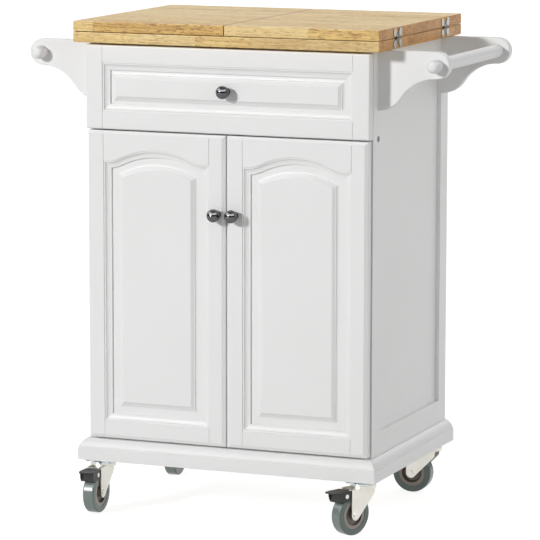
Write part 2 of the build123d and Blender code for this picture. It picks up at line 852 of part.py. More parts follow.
def knob(x, z, depth):
    """Knob standing on a front at a depth behind its face."""
    lip = knob_base_height / 2
    flare = (knob_neck_radius + (knob_base_radius - knob_neck_radius) / 4, 0,
             lip + (neck_end - lip) / 4)
    section = Face(Wire([
        Edge.make_line((0, 0, 0), (knob_base_radius, 0, 0)),
        Edge.make_line((knob_base_radius, 0, 0), (knob_base_radius, 0, lip)),
        Edge.make_three_point_arc((knob_base_radius, 0, lip), flare, (knob_neck_radius, 0, neck_end)),
        Edge.make_three_point_arc((knob_neck_radius, 0, neck_end), (knob_radius, 0, ball_centre),
                                  (0, 0, knob_reach)),
        Edge.make_line((0, 0, knob_reach), (0, 0, 0)),
    ]))
    turned = Solid.revolve(section, 360, Axis.Z)
    return turned.moved(Plane(origin=(x, face_y + depth, z), z_dir=(0, -1, 0)).location)


def knob_screw(x, z, depth, back_depth):
    """Screw from behind into a knob, its head on a face at the back depth."""
    start = (x, face_y + back_depth, z)
    head = rod(start, (0, 1, 0), knob_screw_head_radius, knob_screw_head_height)
    return head + rod(start, (0, -1, 0), knob_screw_radius, back_depth - depth + ball_centre)


drawer_knob_z = (drawer_low + drawer_top) / 2
drawer_box_front_back = front_thickness + drawer_side_thickness
drawer_knob_screw = knob_screw(0, drawer_knob_z, field_depth, drawer_box_front_back)
drawer_knob = knob(0, drawer_knob_z, field_depth) - drawer_knob_screw
drawer_panel = drawer_panel - drawer_knob_screw

door_knob_x = door_inner + door_knob_inset
door_knob_z = door_top - door_knob_drop
door_knob_screw = knob_screw(door_knob_x, door_knob_z, 0, front_thickness)
door_knob = knob(door_knob_x, door_knob_z, 0) - door_knob_screw

# Drawer box

box_outer = side_inner - runner_space
box_inner = box_outer - drawer_side_thickness
box_low = drawer_low + drawer_side_lift
box_high = box_low + drawer_side_height
box_back = back_panel_front - drawer_back_clearance
bottom_low = box_low + drawer_bottom_lift
bottom_high = bottom_low + drawer_bottom_thickness
bottom_side = box_inner + drawer_groove_depth
bottom_front = fronts_back + drawer_side_thickness - drawer_groove_depth
bottom_back = box_back - drawer_side_thickness + drawer_groove_depth
bottom_groove = block(-bottom_side, bottom_side, bottom_front, bottom_back, bottom_low - groove_play,
                      bottom_high + groove_play)
drawer_side = block(box_inner, box_outer, fronts_back, box_back, box_low, box_high) - bottom_groove
drawer_ends = [
    cut(block(-box_inner, box_inner, fronts_back, fronts_back + drawer_side_thickness, box_low, box_high),
        [bottom_groove, drawer_knob_screw]),
    block(-box_inner, box_inner, box_back - drawer_side_thickness, box_back, box_low, box_high)
    - bottom_groove,
]
drawer_bottom = block(-bottom_side + groove_play, bottom_side - groove_play, bottom_front + groove_play,
                      bottom_back - groove_play, bottom_low, bottom_high)

# Runners: a channel on the cabinet and a narrower one on the drawer, sliding inside it

runner_length = box_back - fronts_back - runner_end_margin
runner_middle = (box_low + box_high) / 2
runner_half = runner_height / 2
moving_half = runner_half - runner_sheet - runner_play
fixed_start = carcass_front + runner_sheet
moving_start = fronts_back + runner_sheet


def channel(web_x, open_x, half, start):
    """Channel along Y with its web at one x and its open side at another."""
    step = runner_sheet if web_x < open_x else -runner_sheet
    end = start + runner_length
    whole = block(web_x, open_x, start, end, runner_middle - half, runner_middle + half)
    inside = half - runner_sheet
    return whole - block(web_x + step, open_x, start, end, runner_middle - inside, runner_middle + inside)


fixed_runner = channel(side_inner, side_inner - runner_outer_depth, runner_half, fixed_start)
moving_runner = channel(box_outer, box_outer + runner_outer_depth, moving_half, moving_start)

# Concealed door hinges: a cup in the door, an arm on the side frame and a bent link between them

hinge_zs = (door_low + hinge_inset_from_end, door_top - hinge_inset_from_end)
cup_middle_s = cup_edge + cup_radius
side_s = door_outer - side_inner
cup_inner_radius = cup_radius - cup_wall


def hinge_plane(z):
    """Plane seen from above at a hinge: s inwards from the door's edge, t forwards from its back."""
    return Plane(origin=(door_outer, fronts_back, z), x_dir=(-1, 0, 0), z_dir=(0, 0, 1))


def eye(plane, s, t, radius, half):
    """Short bar along the hinge axis, centred on the hinge's plane."""
    return rod(plane.from_local_coords((s, t, -half)), (0, 0, 1), radius, 2 * half)


def hinge_cup(z):
    """Cup with its ears and the pin that the link turns on."""
    plane = hinge_plane(z)
    centre = plane.from_local_coords((cup_middle_s, 0, 0))
    shell = rod(centre, (0, -1, 0), cup_radius, cup_depth)
    half_width = cup_ear_width / 2
    ears = prism([(cup_middle_s - half_width, 0), (cup_middle_s + half_width, 0),
                  (cup_middle_s + half_width, cup_ear_sheet), (cup_middle_s - half_width, cup_ear_sheet)],
                 plane, -cup_ear_length / 2, cup_ear_length / 2)
    hollow_space = rod(centre, (0, -1, 0), cup_inner_radius, cup_depth - cup_ear_sheet)
    furthest = cup_middle_s - cup_pin_s + hinge_pin_radius
    pin = eye(plane, cup_pin_s, cup_pin_t, hinge_pin_radius, sqrt(cup_radius**2 - furthest**2))
    return shell + ears - hollow_space + pin


def cup_screws(z):
    """Two countersunk screws through the ears of one cup."""
    screws = []
    for offset in (-cup_screw_offset, cup_screw_offset):
        start = hinge_plane(z).from_local_coords((cup_middle_s, 0, offset))
        head = cone(start, (0, -1, 0), hinge_screw_head_radius, hinge_screw_radius, cup_ear_sheet)
        screws.append(head + rod(start, (0, -1, 0), hinge_screw_radius, cup_screw_length))
    return screws


def cup_pocket(z):
    """What is taken out of the door for one cup and its ears."""
    plane = hinge_plane(z)
    centre = plane.from_local_coords((cup_middle_s, 0, 0))
    half_width = cup_ear_width / 2
    ears = prism([(cup_middle_s - half_width, 0), (cup_middle_s + half_width, 0),
                  (cup_middle_s + half_width, cup_ear_sheet), (cup_middle_s - half_width, cup_ear_sheet)],
                 plane, -cup_ear_length / 2, cup_ear_length / 2)
    return rod(centre, (0, -1, 0), cup_radius, cup_depth) + ears


link_length = hypot(cup_pin_s - arm_pin_s, cup_pin_t - arm_pin_t)
link_along = ((cup_pin_s - arm_pin_s) / link_length, (cup_pin_t - arm_pin_t) / link_length)
link_bend = (arm_pin_s + link_along[0] * link_length * link_bulge_share + link_along[1] * link_bulge,
             arm_pin_t + link_along[1] * link_length * link_bulge_share - link_along[0] * link_bulge)


def strip(plane, start, end, half):
    """Flat strip between two points of a hinge's plane."""
    length = hypot(end[0] - start[0], end[1] - start[1])
    a = (end[1] - start[1]) / length * link_sheet / 2
    b = (end[0] - start[0]) / length * link_sheet / 2
    return prism([(start[0] + a, start[1] - b), (end[0] + a, end[1] - b), (end[0] - a, end[1] + b),
                  (start[0] - a, start[1] + b)], plane, -half, half)


def hinge_link(z):
    """Bent link between the arm's pin and the cup's pin."""
    plane = hinge_plane(z)
    half = link_half_height
    link = eye(plane, arm_pin_s, arm_pin_t, link_eye_radius, half)
    link += eye(plane, cup_pin_s, cup_pin_t, link_eye_radius, half)
    link += eye(plane, link_bend[0], link_bend[1], link_sheet / 2, half)
    link += strip(plane, (arm_pin_s, arm_pin_t), link_bend, half)
    link += strip(plane, link_bend, (cup_pin_s, cup_pin_t), half)
    bore = hinge_pin_radius + hinge_pin_play
    link -= eye(plane, arm_pin_s, arm_pin_t, bore, half)
    return link - eye(plane, cup_pin_s, cup_pin_t, bore, half)


arm_start_t = -arm_start
arm_end_t = -arm_start - arm_length
arm_front_s = arm_pin_s + arm_eye_radius
arm_plate_s = side_s + arm_plate_sheet
cheek_inner = link_half_height + arm_cheek_play
cheek_outer = cheek_inner + arm_cheek


def hinge_arm(z):
    """Arm on the side frame: a screwed plate, a spacer block and two cheeks with the link's pin."""
    plane = hinge_plane(z)
    half_plate = arm_plate_height / 2
    arm = prism([(side_s, arm_end_t), (arm_plate_s, arm_end_t), (arm_plate_s, arm_start_t),
                 (side_s, arm_start_t)], plane, -half_plate, half_plate)
    arm += prism([(arm_plate_s, arm_end_t), (arm_front_s, arm_end_t), (arm_front_s, arm_start_t),
                  (arm_plate_s, arm_start_t)], plane, -cheek_outer, cheek_outer)
    cheek = [(arm_plate_s, arm_start_t), (arm_front_s, arm_start_t),
             (arm_front_s, arm_pin_t - 2 * arm_eye_radius), (arm_pin_s + arm_eye_radius, arm_pin_t),
             (arm_pin_s - arm_eye_radius, arm_pin_t)]
    for low, high in ((-cheek_outer, -cheek_inner), (cheek_inner, cheek_outer)):
        arm += prism(cheek, plane, low, high)
        arm += rod(plane.from_local_coords((arm_pin_s, arm_pin_t, low)), (0, 0, 1), arm_eye_radius,
                   arm_cheek)
    return arm + eye(plane, arm_pin_s, arm_pin_t, hinge_pin_radius, cheek_outer)


def arm_screws(z):
    """Two countersunk screws from one arm's plate into the side frame."""
    screws = []
    for offset in (-arm_screw_offset, arm_screw_offset):
        start = hinge_plane(z).from_local_coords((arm_plate_s, (arm_start_t + arm_end_t) / 2, offset))
        head = cone(start, (1, 0, 0), hinge_screw_head_radius, hinge_screw_radius, arm_plate_sheet / 2)
        screws.append(head + rod(start, (1, 0, 0), hinge_screw_radius, arm_screw_length))
    return screws


door_screws = [screw for z in hinge_zs for screw in cup_screws(z)]
side_screws = [screw for z in hinge_zs for screw in arm_screws(z)]
hinge_cups = [cut(hinge_cup(z), door_screws) for z in hinge_zs]
hinge_links = [hinge_link(z) for z in hinge_zs]
hinge_arms = [cut(hinge_arm(z), side_screws) for z in hinge_zs]
door_frame = [cut(piece, [cup_pocket(z) for z in hinge_zs] + door_screws + [door_knob_screw])
              for piece in door_frame]
side_right = [cut(piece, side_screws) for piece in side_right]

# Casters, each in its own frame: u from the swivel axis towards the axle, v across, z up

leg_inner = boss_half_width + leg_play
leg_outer = leg_inner + leg_sheet
leg_back_u = caster_trail + leg_tip_radius
leg_knee_u = -leg_knee_reach
leg_knee_z = crown_low - leg_knee_drop


def uz_plane(v):
    """Vertical plane at a distance across the caster: first coordinate along u, second up."""
    return Plane(origin=(0, v, 0), x_dir=(1, 0, 0), z_dir=(0, -1, 0))


def leg_outline():
    """Face of one fork leg, rounded about the axle, at v = 0."""
    reach = hypot(leg_knee_z - wheel_radius, caster_trail - leg_knee_u)
    lean = atan2(leg_knee_z - wheel_radius, leg_knee_u - caster_trail)
    touch = lean + acos(leg_tip_radius / reach)

    def on_tip(turn):
        return (caster_trail + leg_tip_radius * cos(turn), 0, wheel_radius + leg_tip_radius * sin(turn))

    corners = [(leg_back_u, 0, wheel_radius), (leg_back_u, 0, crown_low), (-leg_front_reach, 0, crown_low),
               (leg_knee_u, 0, leg_knee_z), on_tip(touch)]
    edges = [Edge.make_line(a, b) for a, b in zip(corners, corners[1:])]
    edges.append(Edge.make_three_point_arc(on_tip(touch), on_tip((touch + 2 * pi) / 2), corners[0]))
    return Face(Wire(edges))


def ball_race():
    """Fixed half of a swivel: mounting plate, domed neck, upper cup and kingpin in one piece."""
    plate = block(-plate_size / 2, plate_size / 2, -plate_size / 2, plate_size / 2, plate_low,
                  caster_height)
    plate = fillet(plate.edges().filter_by(Axis.Z), plate_corner_radius)
    race = plate + rod((0, 0, plate_low), (0, 0, -1), race_neck_radius, race_lip)
    race += rod((0, 0, plate_low - race_lip), (0, 0, -1), race_radius, race_lip)
    head_top = crown_low - race_gap
    race += rod((0, 0, upper_cup_low), (0, 0, -1), kingpin_radius, upper_cup_low - head_top)
    race += rod((0, 0, head_top), (0, 0, -1), kingpin_head_radius, kingpin_head_height)
    hole = plate_hole_radius
    for u, v in plate_holes:
        race -= rod((u, v, plate_low), (0, 0, 1), hole, plate_sheet)
    return race


hole_offset = plate_size / 2 - plate_hole_inset
plate_holes = [(u, v) for u in (-hole_offset, hole_offset) for v in (-hole_offset, hole_offset)]


def plate_screw(u, v):
    """Screw through one hole of a mounting plate into the plinth."""
    head = rod((u, v, plate_low), (0, 0, -1), caster_screw_head_radius, caster_screw_head_height)
    return head + rod((u, v, plate_low), (0, 0, 1), caster_screw_radius, caster_screw_length)


def axle():
    """Riveted axle through both fork legs."""
    bar = rod((caster_trail, -leg_outer, wheel_radius), (0, 1, 0), axle_radius, 2 * leg_outer)
    for side in (-1, 1):
        bar += rod((caster_trail, side * leg_outer, wheel_radius), (0, side, 0), axle_head_radius,
                   axle_head_height)
    return bar


def fork():
    """Swivelling fork: lower race cup, crown and two legs, bored for the kingpin and the axle."""
    body = rod((0, 0, crown_low), (0, 0, 1), race_radius, upper_cup_low - race_gap - crown_low)
    body += block(-leg_front_reach, leg_back_u, -leg_outer, leg_outer, crown_low, crown_top)
    for low in (-leg_outer, leg_inner):
        body += Solid.extrude(leg_outline().moved(Location((0, low, 0))), Vector(0, leg_sheet, 0))
    body -= rod((0, 0, crown_low), (0, 0, 1), kingpin_radius + kingpin_play, caster_height)
    return body - axle()


def brake_rivet():
    """Rivet that carries the pedal between the two ears."""
    reach = ear_outer + cheek_play + cheek_sheet + cheek_play
    bar = rod((pedal_pivot_u, -reach, pedal_pivot_z), (0, 1, 0), rivet_radius, 2 * reach)
    for side in (-1, 1):
        bar += rod((pedal_pivot_u, side * reach, pedal_pivot_z), (0, side, 0), rivet_head_radius,
                   rivet_head_height)
    return bar


ear_outer = leg_outer - cheek_sheet - cheek_play - ear_to_leg
ear_inner = ear_outer - ear_sheet
cheek_inner_v = ear_outer + cheek_play
pedal_half = cheek_inner_v + cheek_sheet
pedal_start = pedal_pivot_u - pedal_heel
tread_top = crown_top - tread_drop
tread_low = tread_top - pedal_sheet
shoe_start = pedal_pivot_u + shoe_out
shoe_end = shoe_start + shoe_width
shoe_low = pedal_pivot_z - shoe_drop


def brake_ears():
    """Two ears under the crown that hold the pedal's rivet."""
    side = ear_eye_radius * sin(pi / 4)
    top = crown_top - ear_top_gap
    start = caster_trail - ear_root
    outline = [(start, top), (start, crown_low - ear_drop), (pedal_start, crown_low - ear_drop),
               (pedal_pivot_u - side, pedal_pivot_z - side), (pedal_pivot_u + side, pedal_pivot_z + side),
               (pedal_start, tread_low - cheek_play), (leg_back_u, top)]
    ears = []
    for v in (-ear_outer, ear_inner):
        ear = prism(outline, uz_plane(v), -ear_sheet, 0)
        ear += rod((pedal_pivot_u, v, pedal_pivot_z), (0, 1, 0), ear_eye_radius, ear_sheet)
        ears.append(ear)
    return ears


def brake_pedal():
    """Foot pedal: two cheeks about the rivet, a tapering tread and a shoe that meets the tyre."""
    inside_tread = tread_low + pedal_sheet / 2
    taper_start = pedal_reach - pedal_taper
    heel = pedal_pivot_u - cheek_heel
    low = pedal_pivot_z - cheek_drop
    cheek = [(heel, inside_tread), (heel, pedal_pivot_z - cheek_drop / 2),
             (pedal_pivot_u - cheek_heel / 2, low), (shoe_start, low),
             (shoe_end + shoe_width / 4, shoe_low + cheek_drop / 3),
             (shoe_end + shoe_width / 2, pedal_pivot_z),
             (shoe_end + shoe_width / 2, pedal_pivot_z + cheek_drop / 4), (taper_start, tread_low),
             (taper_start, inside_tread)]
    body = plan([(pedal_start, -pedal_half), (taper_start, -pedal_half), (pedal_reach, -pedal_tip_width / 2),
                 (pedal_reach, pedal_tip_width / 2), (taper_start, pedal_half), (pedal_start, pedal_half)],
                tread_low, tread_top)
    body += block(shoe_start, shoe_end, -pedal_half, pedal_half, shoe_low, tread_low)
    for v in (-pedal_half, cheek_inner_v):
        body += prism(cheek, uz_plane(v), -cheek_sheet, 0)
    return body - rod((pedal_pivot_u, -pedal_half, pedal_pivot_z), (0, 1, 0), rivet_radius + pedal_play,
                      2 * pedal_half)


def ring(points):
    """Ring turned about the axle from (v, radius) points."""
    corners = [(caster_trail, v, wheel_radius + radius) for v, radius in points]
    axis = Axis((caster_trail, 0, wheel_radius), (0, 1, 0))
    return Solid.revolve(Face(Wire.make_polygon(corners)), 360, axis)


def wheel_hub():
    """Moulded wheel centre: rim, dished web and boss, bored for the axle."""
    rim_half = tyre_width / 2 - rim_recess
    web_half = rim_half - dish_depth
    step_half = web_half + web_ring_step
    step_radius = rim_inner_radius - web_ring_step
    side = [(boss_half_width, axle_radius + axle_play), (boss_half_width, boss_radius - boss_draft),
            (web_half, boss_radius + boss_draft), (web_half, step_radius - web_ring_step),
            (step_half, step_radius), (step_half, rim_inner_radius),
            (rim_half, rim_inner_radius), (rim_half, rim_radius)]
    return ring(side + [(-v, radius) for v, radius in reversed(side)])


def tyre():
    """Soft tread pressed over the rim."""
    half = tyre_width / 2
    hoop = ring([(-half, rim_radius), (half, rim_radius), (half, wheel_radius), (-half, wheel_radius)])
    outer = [edge for edge in hoop.edges().filter_by(GeomType.CIRCLE)
             if abs(edge.radius - wheel_radius) < tyre_shoulder]
    return fillet(outer, tyre_shoulder)


swivels = {
    "front_left": (-swivel_x, front_swivel_y),
    "front_right": (swivel_x, front_swivel_y),
    "back_left": (-swivel_x, back_swivel_y),
    "back_right": (swivel_x, back_swivel_y),
}


def at_swivel(corner, angle=0.0):
    """Where a caster's own frame lies under the plinth."""
    x, y = swivels[corner]
    return Location((x, y, 0), (0, 0, angle))


race = ball_race()
screws = [plate_screw(u, v) for u, v in plate_holes]
plain_fork = fork()
braked_fork = joined([fork()] + brake_ears()) - brake_rivet()
hub = wheel_hub()
tread = tyre()
pedal = brake_pedal()
caster_plates = [race.moved(at_swivel(corner)) for corner in swivels]
caster_screws = [screw.moved(at_swivel(corner)) for corner in swivels for screw in screws]
plinth_rails = [cut(rail, caster_screws) for rail in plinth_rails]
caster_blocks = [cut(piece, caster_screws) for piece in caster_blocks]

# Every node is written to its own file

os.makedirs("parts", exist_ok=True)


def write_pair(node, pieces):
    """Write a right-hand node and its mirror image on the left."""
    write(node.replace("SIDE", "right"), pieces)
    write(node.replace("SIDE", "left"), [piece.mirror(MIRROR) for piece in solids_of(pieces)])


write_pair("side_frame_SIDE", side_right)
write_pair("side_panel_SIDE", [side_panel_right])
write("back_panel", [back_panel])
write("floor_panel", [floor_panel])
write("top_rails", top_rails)
write("divider_rail", [divider_rail])
write("shelf", [shelf])
write("shelf_pins", both_sides(shelf_pins))
write("plinth_frame", plinth_rails)
write("caster_blocks", caster_blocks)
write("worktop_board", [worktop_board])
write("leaf_hinge_flaps_fixed", both_sides(fixed_flaps + leaf_pins + fixed_leaf_screws))
write_pair("leaf_SIDE", [leaf_right])
write_pair("leaf_hinge_flaps_SIDE", moving_flaps + moving_leaf_screws)
write_pair("towel_bracket_front_SIDE", [bracket_front])
write_pair("towel_bracket_back_SIDE", [bracket_back])
write_pair("towel_rail_SIDE", [towel_rail])
write("side_fasteners", both_sides([side_bolt] + all_bracket_screws))
write("drawer_runners_fixed", both_sides([fixed_runner]))
write("drawer_runners_moving", both_sides([moving_runner]))
write("drawer_front_frame", drawer_frame)
write("drawer_front_panel", [drawer_panel])
write("drawer_sides", both_sides([drawer_side]))
write("drawer_ends", drawer_ends)
write("drawer_bottom", [drawer_bottom])
write("drawer_knob", [drawer_knob, drawer_knob_screw])
write_pair("door_SIDE_frame", door_frame)
write_pair("door_SIDE_panel", [door_panel])
write_pair("door_SIDE_knob", [door_knob, door_knob_screw])
write_pair("door_SIDE_hinge_cups", hinge_cups + door_screws)
write_pair("door_SIDE_hinge_links", hinge_links)
write("door_hinge_arms", both_sides(hinge_arms + side_screws))
write("caster_plates", caster_plates)
write("caster_screws", caster_screws)
for corner, angle in heading_angles.items():
    place = at_swivel(corner, angle)
    braked = corner in braked_casters
    fork_pieces = [braked_fork, axle(), brake_rivet()] if braked else [plain_fork, axle()]
    write(f"caster_{corner}_fork", [piece.moved(place) for piece in fork_pieces])
    write(f"caster_{corner}_hub", [hub.moved(place)])
    write(f"caster_{corner}_tyre", [tread.moved(place)])
    if braked:
        write(f"caster_{corner}_pedal", [pedal.moved(place)])
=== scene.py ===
"""Looks of the kitchen trolley: laminated rubberwood worktop, white painted cabinet, dark polished
knobs, zinc-plated casters with grey tyres and black foot brakes, on a pale studio floor.

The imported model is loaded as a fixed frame. Each operator gives one group of its pieces their
finish. The frame is in metres, z up, floor at z = 0.
"""

import json
import math

import bpy
from mathutils import Matrix, Vector


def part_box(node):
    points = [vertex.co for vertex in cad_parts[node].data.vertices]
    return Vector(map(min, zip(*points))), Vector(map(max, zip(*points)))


bl_info = {
    "name": "Kitchen trolley",
    "version": (1, 0, 0),
    "blender": (4, 5, 0),
    "location": "3D View > Sidebar > Trolley",
    "description": "Finishes and studio for a kitchen trolley with a folding worktop",
    "category": "Object",
}

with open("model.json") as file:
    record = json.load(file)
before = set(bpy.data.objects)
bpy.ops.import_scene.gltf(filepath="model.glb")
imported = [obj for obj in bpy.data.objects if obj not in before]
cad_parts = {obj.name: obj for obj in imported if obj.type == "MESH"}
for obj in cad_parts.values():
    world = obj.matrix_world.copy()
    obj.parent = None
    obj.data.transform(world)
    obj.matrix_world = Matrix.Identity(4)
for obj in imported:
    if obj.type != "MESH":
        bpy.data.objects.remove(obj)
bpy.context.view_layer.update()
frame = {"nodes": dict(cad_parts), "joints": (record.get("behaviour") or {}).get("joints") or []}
nodes = frame["nodes"]

MM = 0.001
WHITE = (1.0, 1.0, 1.0, 1.0)

# Front edges of the worktop: each stave's start in mm from the left end, and its tone from 0 to 1
BOARD_STAVES = ((0, 0.30), (114, 0.12), (239, 0.44), (345, 0.22))
LEAF_STAVES = ((0, 0.34), (38, 0.96), (295, 0.16), (455, 0.56))
# The leaves' wood starts this far below their underside, in mm, clear of the board's top
BELOW_LEAVES = 0.4
# Rows of staves in the leaves are numbered on from here, so that they differ from the board's
LEAF_ROWS_FROM = 37.0
# Fingers of the staves' joints, in mm
FINGER_PITCH = 4.0
FINGER_LENGTH = 7.0
# Glue lines, as shares of a stave's width: 0.5 mm wide with soft edges
GLUE_FULL = 0.006
GLUE_GONE = 0.014
# Painted shade on each side of the seam between the leaves, in mm. It is drawn three times too wide,
# so that it shows in the picture
SEAM_SHADE = 3.0
SEAM_SHADE_EDGE = 0.6

# Leaf hinges, in mm: from screw to screw along the edge, from the knuckle to the screws, and the
# radius of the rounded lobes about them
SCREW_SPACING = 29.0
SCREW_REACH = 10.5
LOBE_RADIUS = 7.2

# Radii on the wheels, in mm: where the tread starts and is full, the wheel centre's outside, and the
# insides of its pale ring and of the groove within that
TREAD_START = 36.6
TREAD_FULL = 37.4
CENTRE_RADIUS = 26.0
RING_START = 19.4
GROOVE_START = 16.2

# Middle of the trolley's front, which the lights face
FRONT_MIDDLE = Vector((0.0, -0.19, 0.5))
KEY_DISTANCE = 16.0
KEY_DIRECTION = Vector((-0.457, -0.823, 0.337))
CLOTH_PLACE = (3.4, -8.4, 1.2)
CLOTH_SIZE = (9.0, 4.6, 1.0)
# How the room light grows towards the right and the back, and wanes towards the ceiling
ROOM_LEAN = (0.42, 0.38, -0.62)
# Sines of the height angles where the mirrored panels start and are full, and the same of the ceiling
PANELS_START = 0.36
PANELS_FULL = 0.44
CEILING_START = 0.76
CEILING_FULL = 0.84
CEILING_GLOW = 0.5
# Glow of the floor as it is seen and mirrored, and as it lights the trolley
FLOOR_GLOW = 0.84
FLOOR_LIGHT = 0.12

# Camera as solved from the edges in the photo: place in metres, angles in degrees
CAMERA_PLACE = (2.32655, -5.75080, 1.37317)
CAMERA_TURN = 21.9371
CAMERA_DOWN = 8.5686
CAMERA_ROLL = 0.0694
SENSOR_WIDTH = 36.0
CLIP_END = 200.0


def linear(hex_colour):
    """Linear colour, with alpha, of an sRGB hex value such as "#E6E6E6"."""
    channels = [int(hex_colour[i:i + 2], 16) / 255 for i in (1, 3, 5)]
    return tuple(c / 12.92 if c <= 0.04045 else ((c + 0.055) / 1.055) ** 2.4 for c in channels) + (1.0,)


def per_metre(*millimetres):
    """Pattern scale for one repeat in so many millimetres, or three scales for X, Y and Z."""
    scales = tuple(1 / (size * MM) for size in millimetres)
    return scales if len(scales) > 1 else scales[0]


def colour_setting(name, description, hex_colour):
    """A colour that the user may change."""
    return bpy.props.FloatVectorProperty(name=name, description=description, subtype="COLOR", size=4,
                                         min=0.0, max=1.0, default=linear(hex_colour))


def length_setting(name, description, millimetres):
    """A length that the user may change."""
    return bpy.props.FloatProperty(name=name, description=description, unit="LENGTH", min=0.0,
                                   precision=4, default=millimetres * MM)


def strength_setting(name, description, strength):
    """A strength of light that the user may change."""
    return bpy.props.FloatProperty(name=name, description=description, min=0.0, default=strength)


class TrolleyFinish(bpy.types.PropertyGroup):
    """Colours and pattern sizes of the trolley's finishes."""
    light_stave: colour_setting("Light stave", "Palest staves of the worktop", "#F9E0A2")
    mid_stave: colour_setting("Mid stave", "Most of the worktop's staves", "#F3D389")
    dark_stave: colour_setting("Dark stave", "Darkest staves of the worktop", "#F2C971")
    end_grain: colour_setting("End grain", "Sawn ends of the staves", "#D0953D")
    stave_width: length_setting("Stave width", "Width of one stave of the worktop", 36.9)
    stave_length: length_setting("Stave length", "Usual length of one stave of the worktop", 240)
    paint: colour_setting("Paint", "White paint of the cabinet", "#F1F1F1")
    paint_edge_radius: length_setting("Painted edge radius", "How far the painted edges look rounded", 0.7)
    inside_board: colour_setting("Inside board", "Faced boards inside the cabinet", "#EFECE6")
    pine: colour_setting("Pine", "Bare pine of the blocks under the cabinet", "#D9BE92")
    knob: colour_setting("Knob", "Dark polished plating of the knobs", "#626264")
    zinc: colour_setting("Zinc", "Bright zinc plating of the forks", "#DFDDD5")
    plate: colour_setting("Mounting plates", "Blue-white zinc plating of plates and races", "#D3DADB")
    fastener: colour_setting("Fasteners", "Plated steel of screws and pins", "#B4B3AE")
    bolt: colour_setting("Bolts", "Blackened steel of the bolts and screws in the sides", "#6A6966")
    hinge: colour_setting("Hinges", "Nickel plating of the hinges", "#D6D3CC")
    runner: colour_setting("Runners", "Galvanised steel of the drawer runners", "#B9BDC0")
    tyre: colour_setting("Tyre", "Grey rubber of the treads", "#66746F")
    rim: colour_setting("Rim", "Pale ring of the wheel centres", "#A69C93")
    web: colour_setting("Web", "Dark dished web of the wheel centres", "#7B7269")
    pedal: colour_setting("Pedal", "Black coating of the foot brakes", "#161617")


class TrolleyStudio(bpy.types.PropertyGroup):
    """Floor, lights and camera."""
    floor: colour_setting("Floor", "Pale floor under the trolley", "#9A9A9A")
    floor_size: length_setting("Floor size", "Side of the square floor", 60000)
    sky: strength_setting("Room light", "Strength of the soft light all round", 0.72)
    panels: strength_setting("Panels", "Brightness of the panels that glossy surfaces mirror", 4.2)
    walls: strength_setting("Walls", "Brightness of the walls that glossy surfaces mirror", 0.10)
    key_power: bpy.props.FloatProperty(name="Key power", description="Power of the key light at the left",
                                       subtype="POWER", min=0.0, default=1680.0)
    key_size: length_setting("Key size", "Side of the key light at the left", 1800)
    focal_length: bpy.props.FloatProperty(name="Focal length", description="Focal length of the camera",
                                          unit="CAMERA", subtype="DISTANCE_CAMERA", min=1.0, default=226.16)


def add_node(tree, kind, inputs=None, options=None):
    """Add a node with its options; each input is given a value, a socket or a node that feeds it."""
    made = tree.nodes.new(kind)
    for name, value in (options or {}).items():
        setattr(made, name, value)
    for name, source in (inputs or {}).items():
        if isinstance(source, bpy.types.Node):
            source = next(output for output in source.outputs if output.enabled)
        if isinstance(source, bpy.types.NodeSocket):
            tree.links.new(source, made.inputs[name])
        else:
            made.inputs[name].default_value = source
    return made


def start_material(name):
    """A material without nodes, and its node tree."""
    material = bpy.data.materials.new(name)
    material.use_nodes = True
    tree = material.node_tree
    tree.nodes.clear()
    return material, tree


def close_material(tree, inputs):
    """End a material's tree with its Principled shader and output."""
    shader = add_node(tree, "ShaderNodeBsdfPrincipled", inputs)
    add_node(tree, "ShaderNodeOutputMaterial", {"Surface": shader})


def dress(names, material):
    """Give CAD nodes one material in all their slots."""
    for name in names:
        if name not in nodes:
            raise RuntimeError(f"the packed model has no piece named {name}")
        slots = nodes[name].data.materials
        for index in range(max(1, len(slots))):
            if index < len(slots):
                slots[index] = material
            else:
                slots.append(material)


def pieces_with(*words):
    """Names of the CAD nodes that hold every one of these words."""
    return sorted(name for name in nodes if all(word in name for word in words))


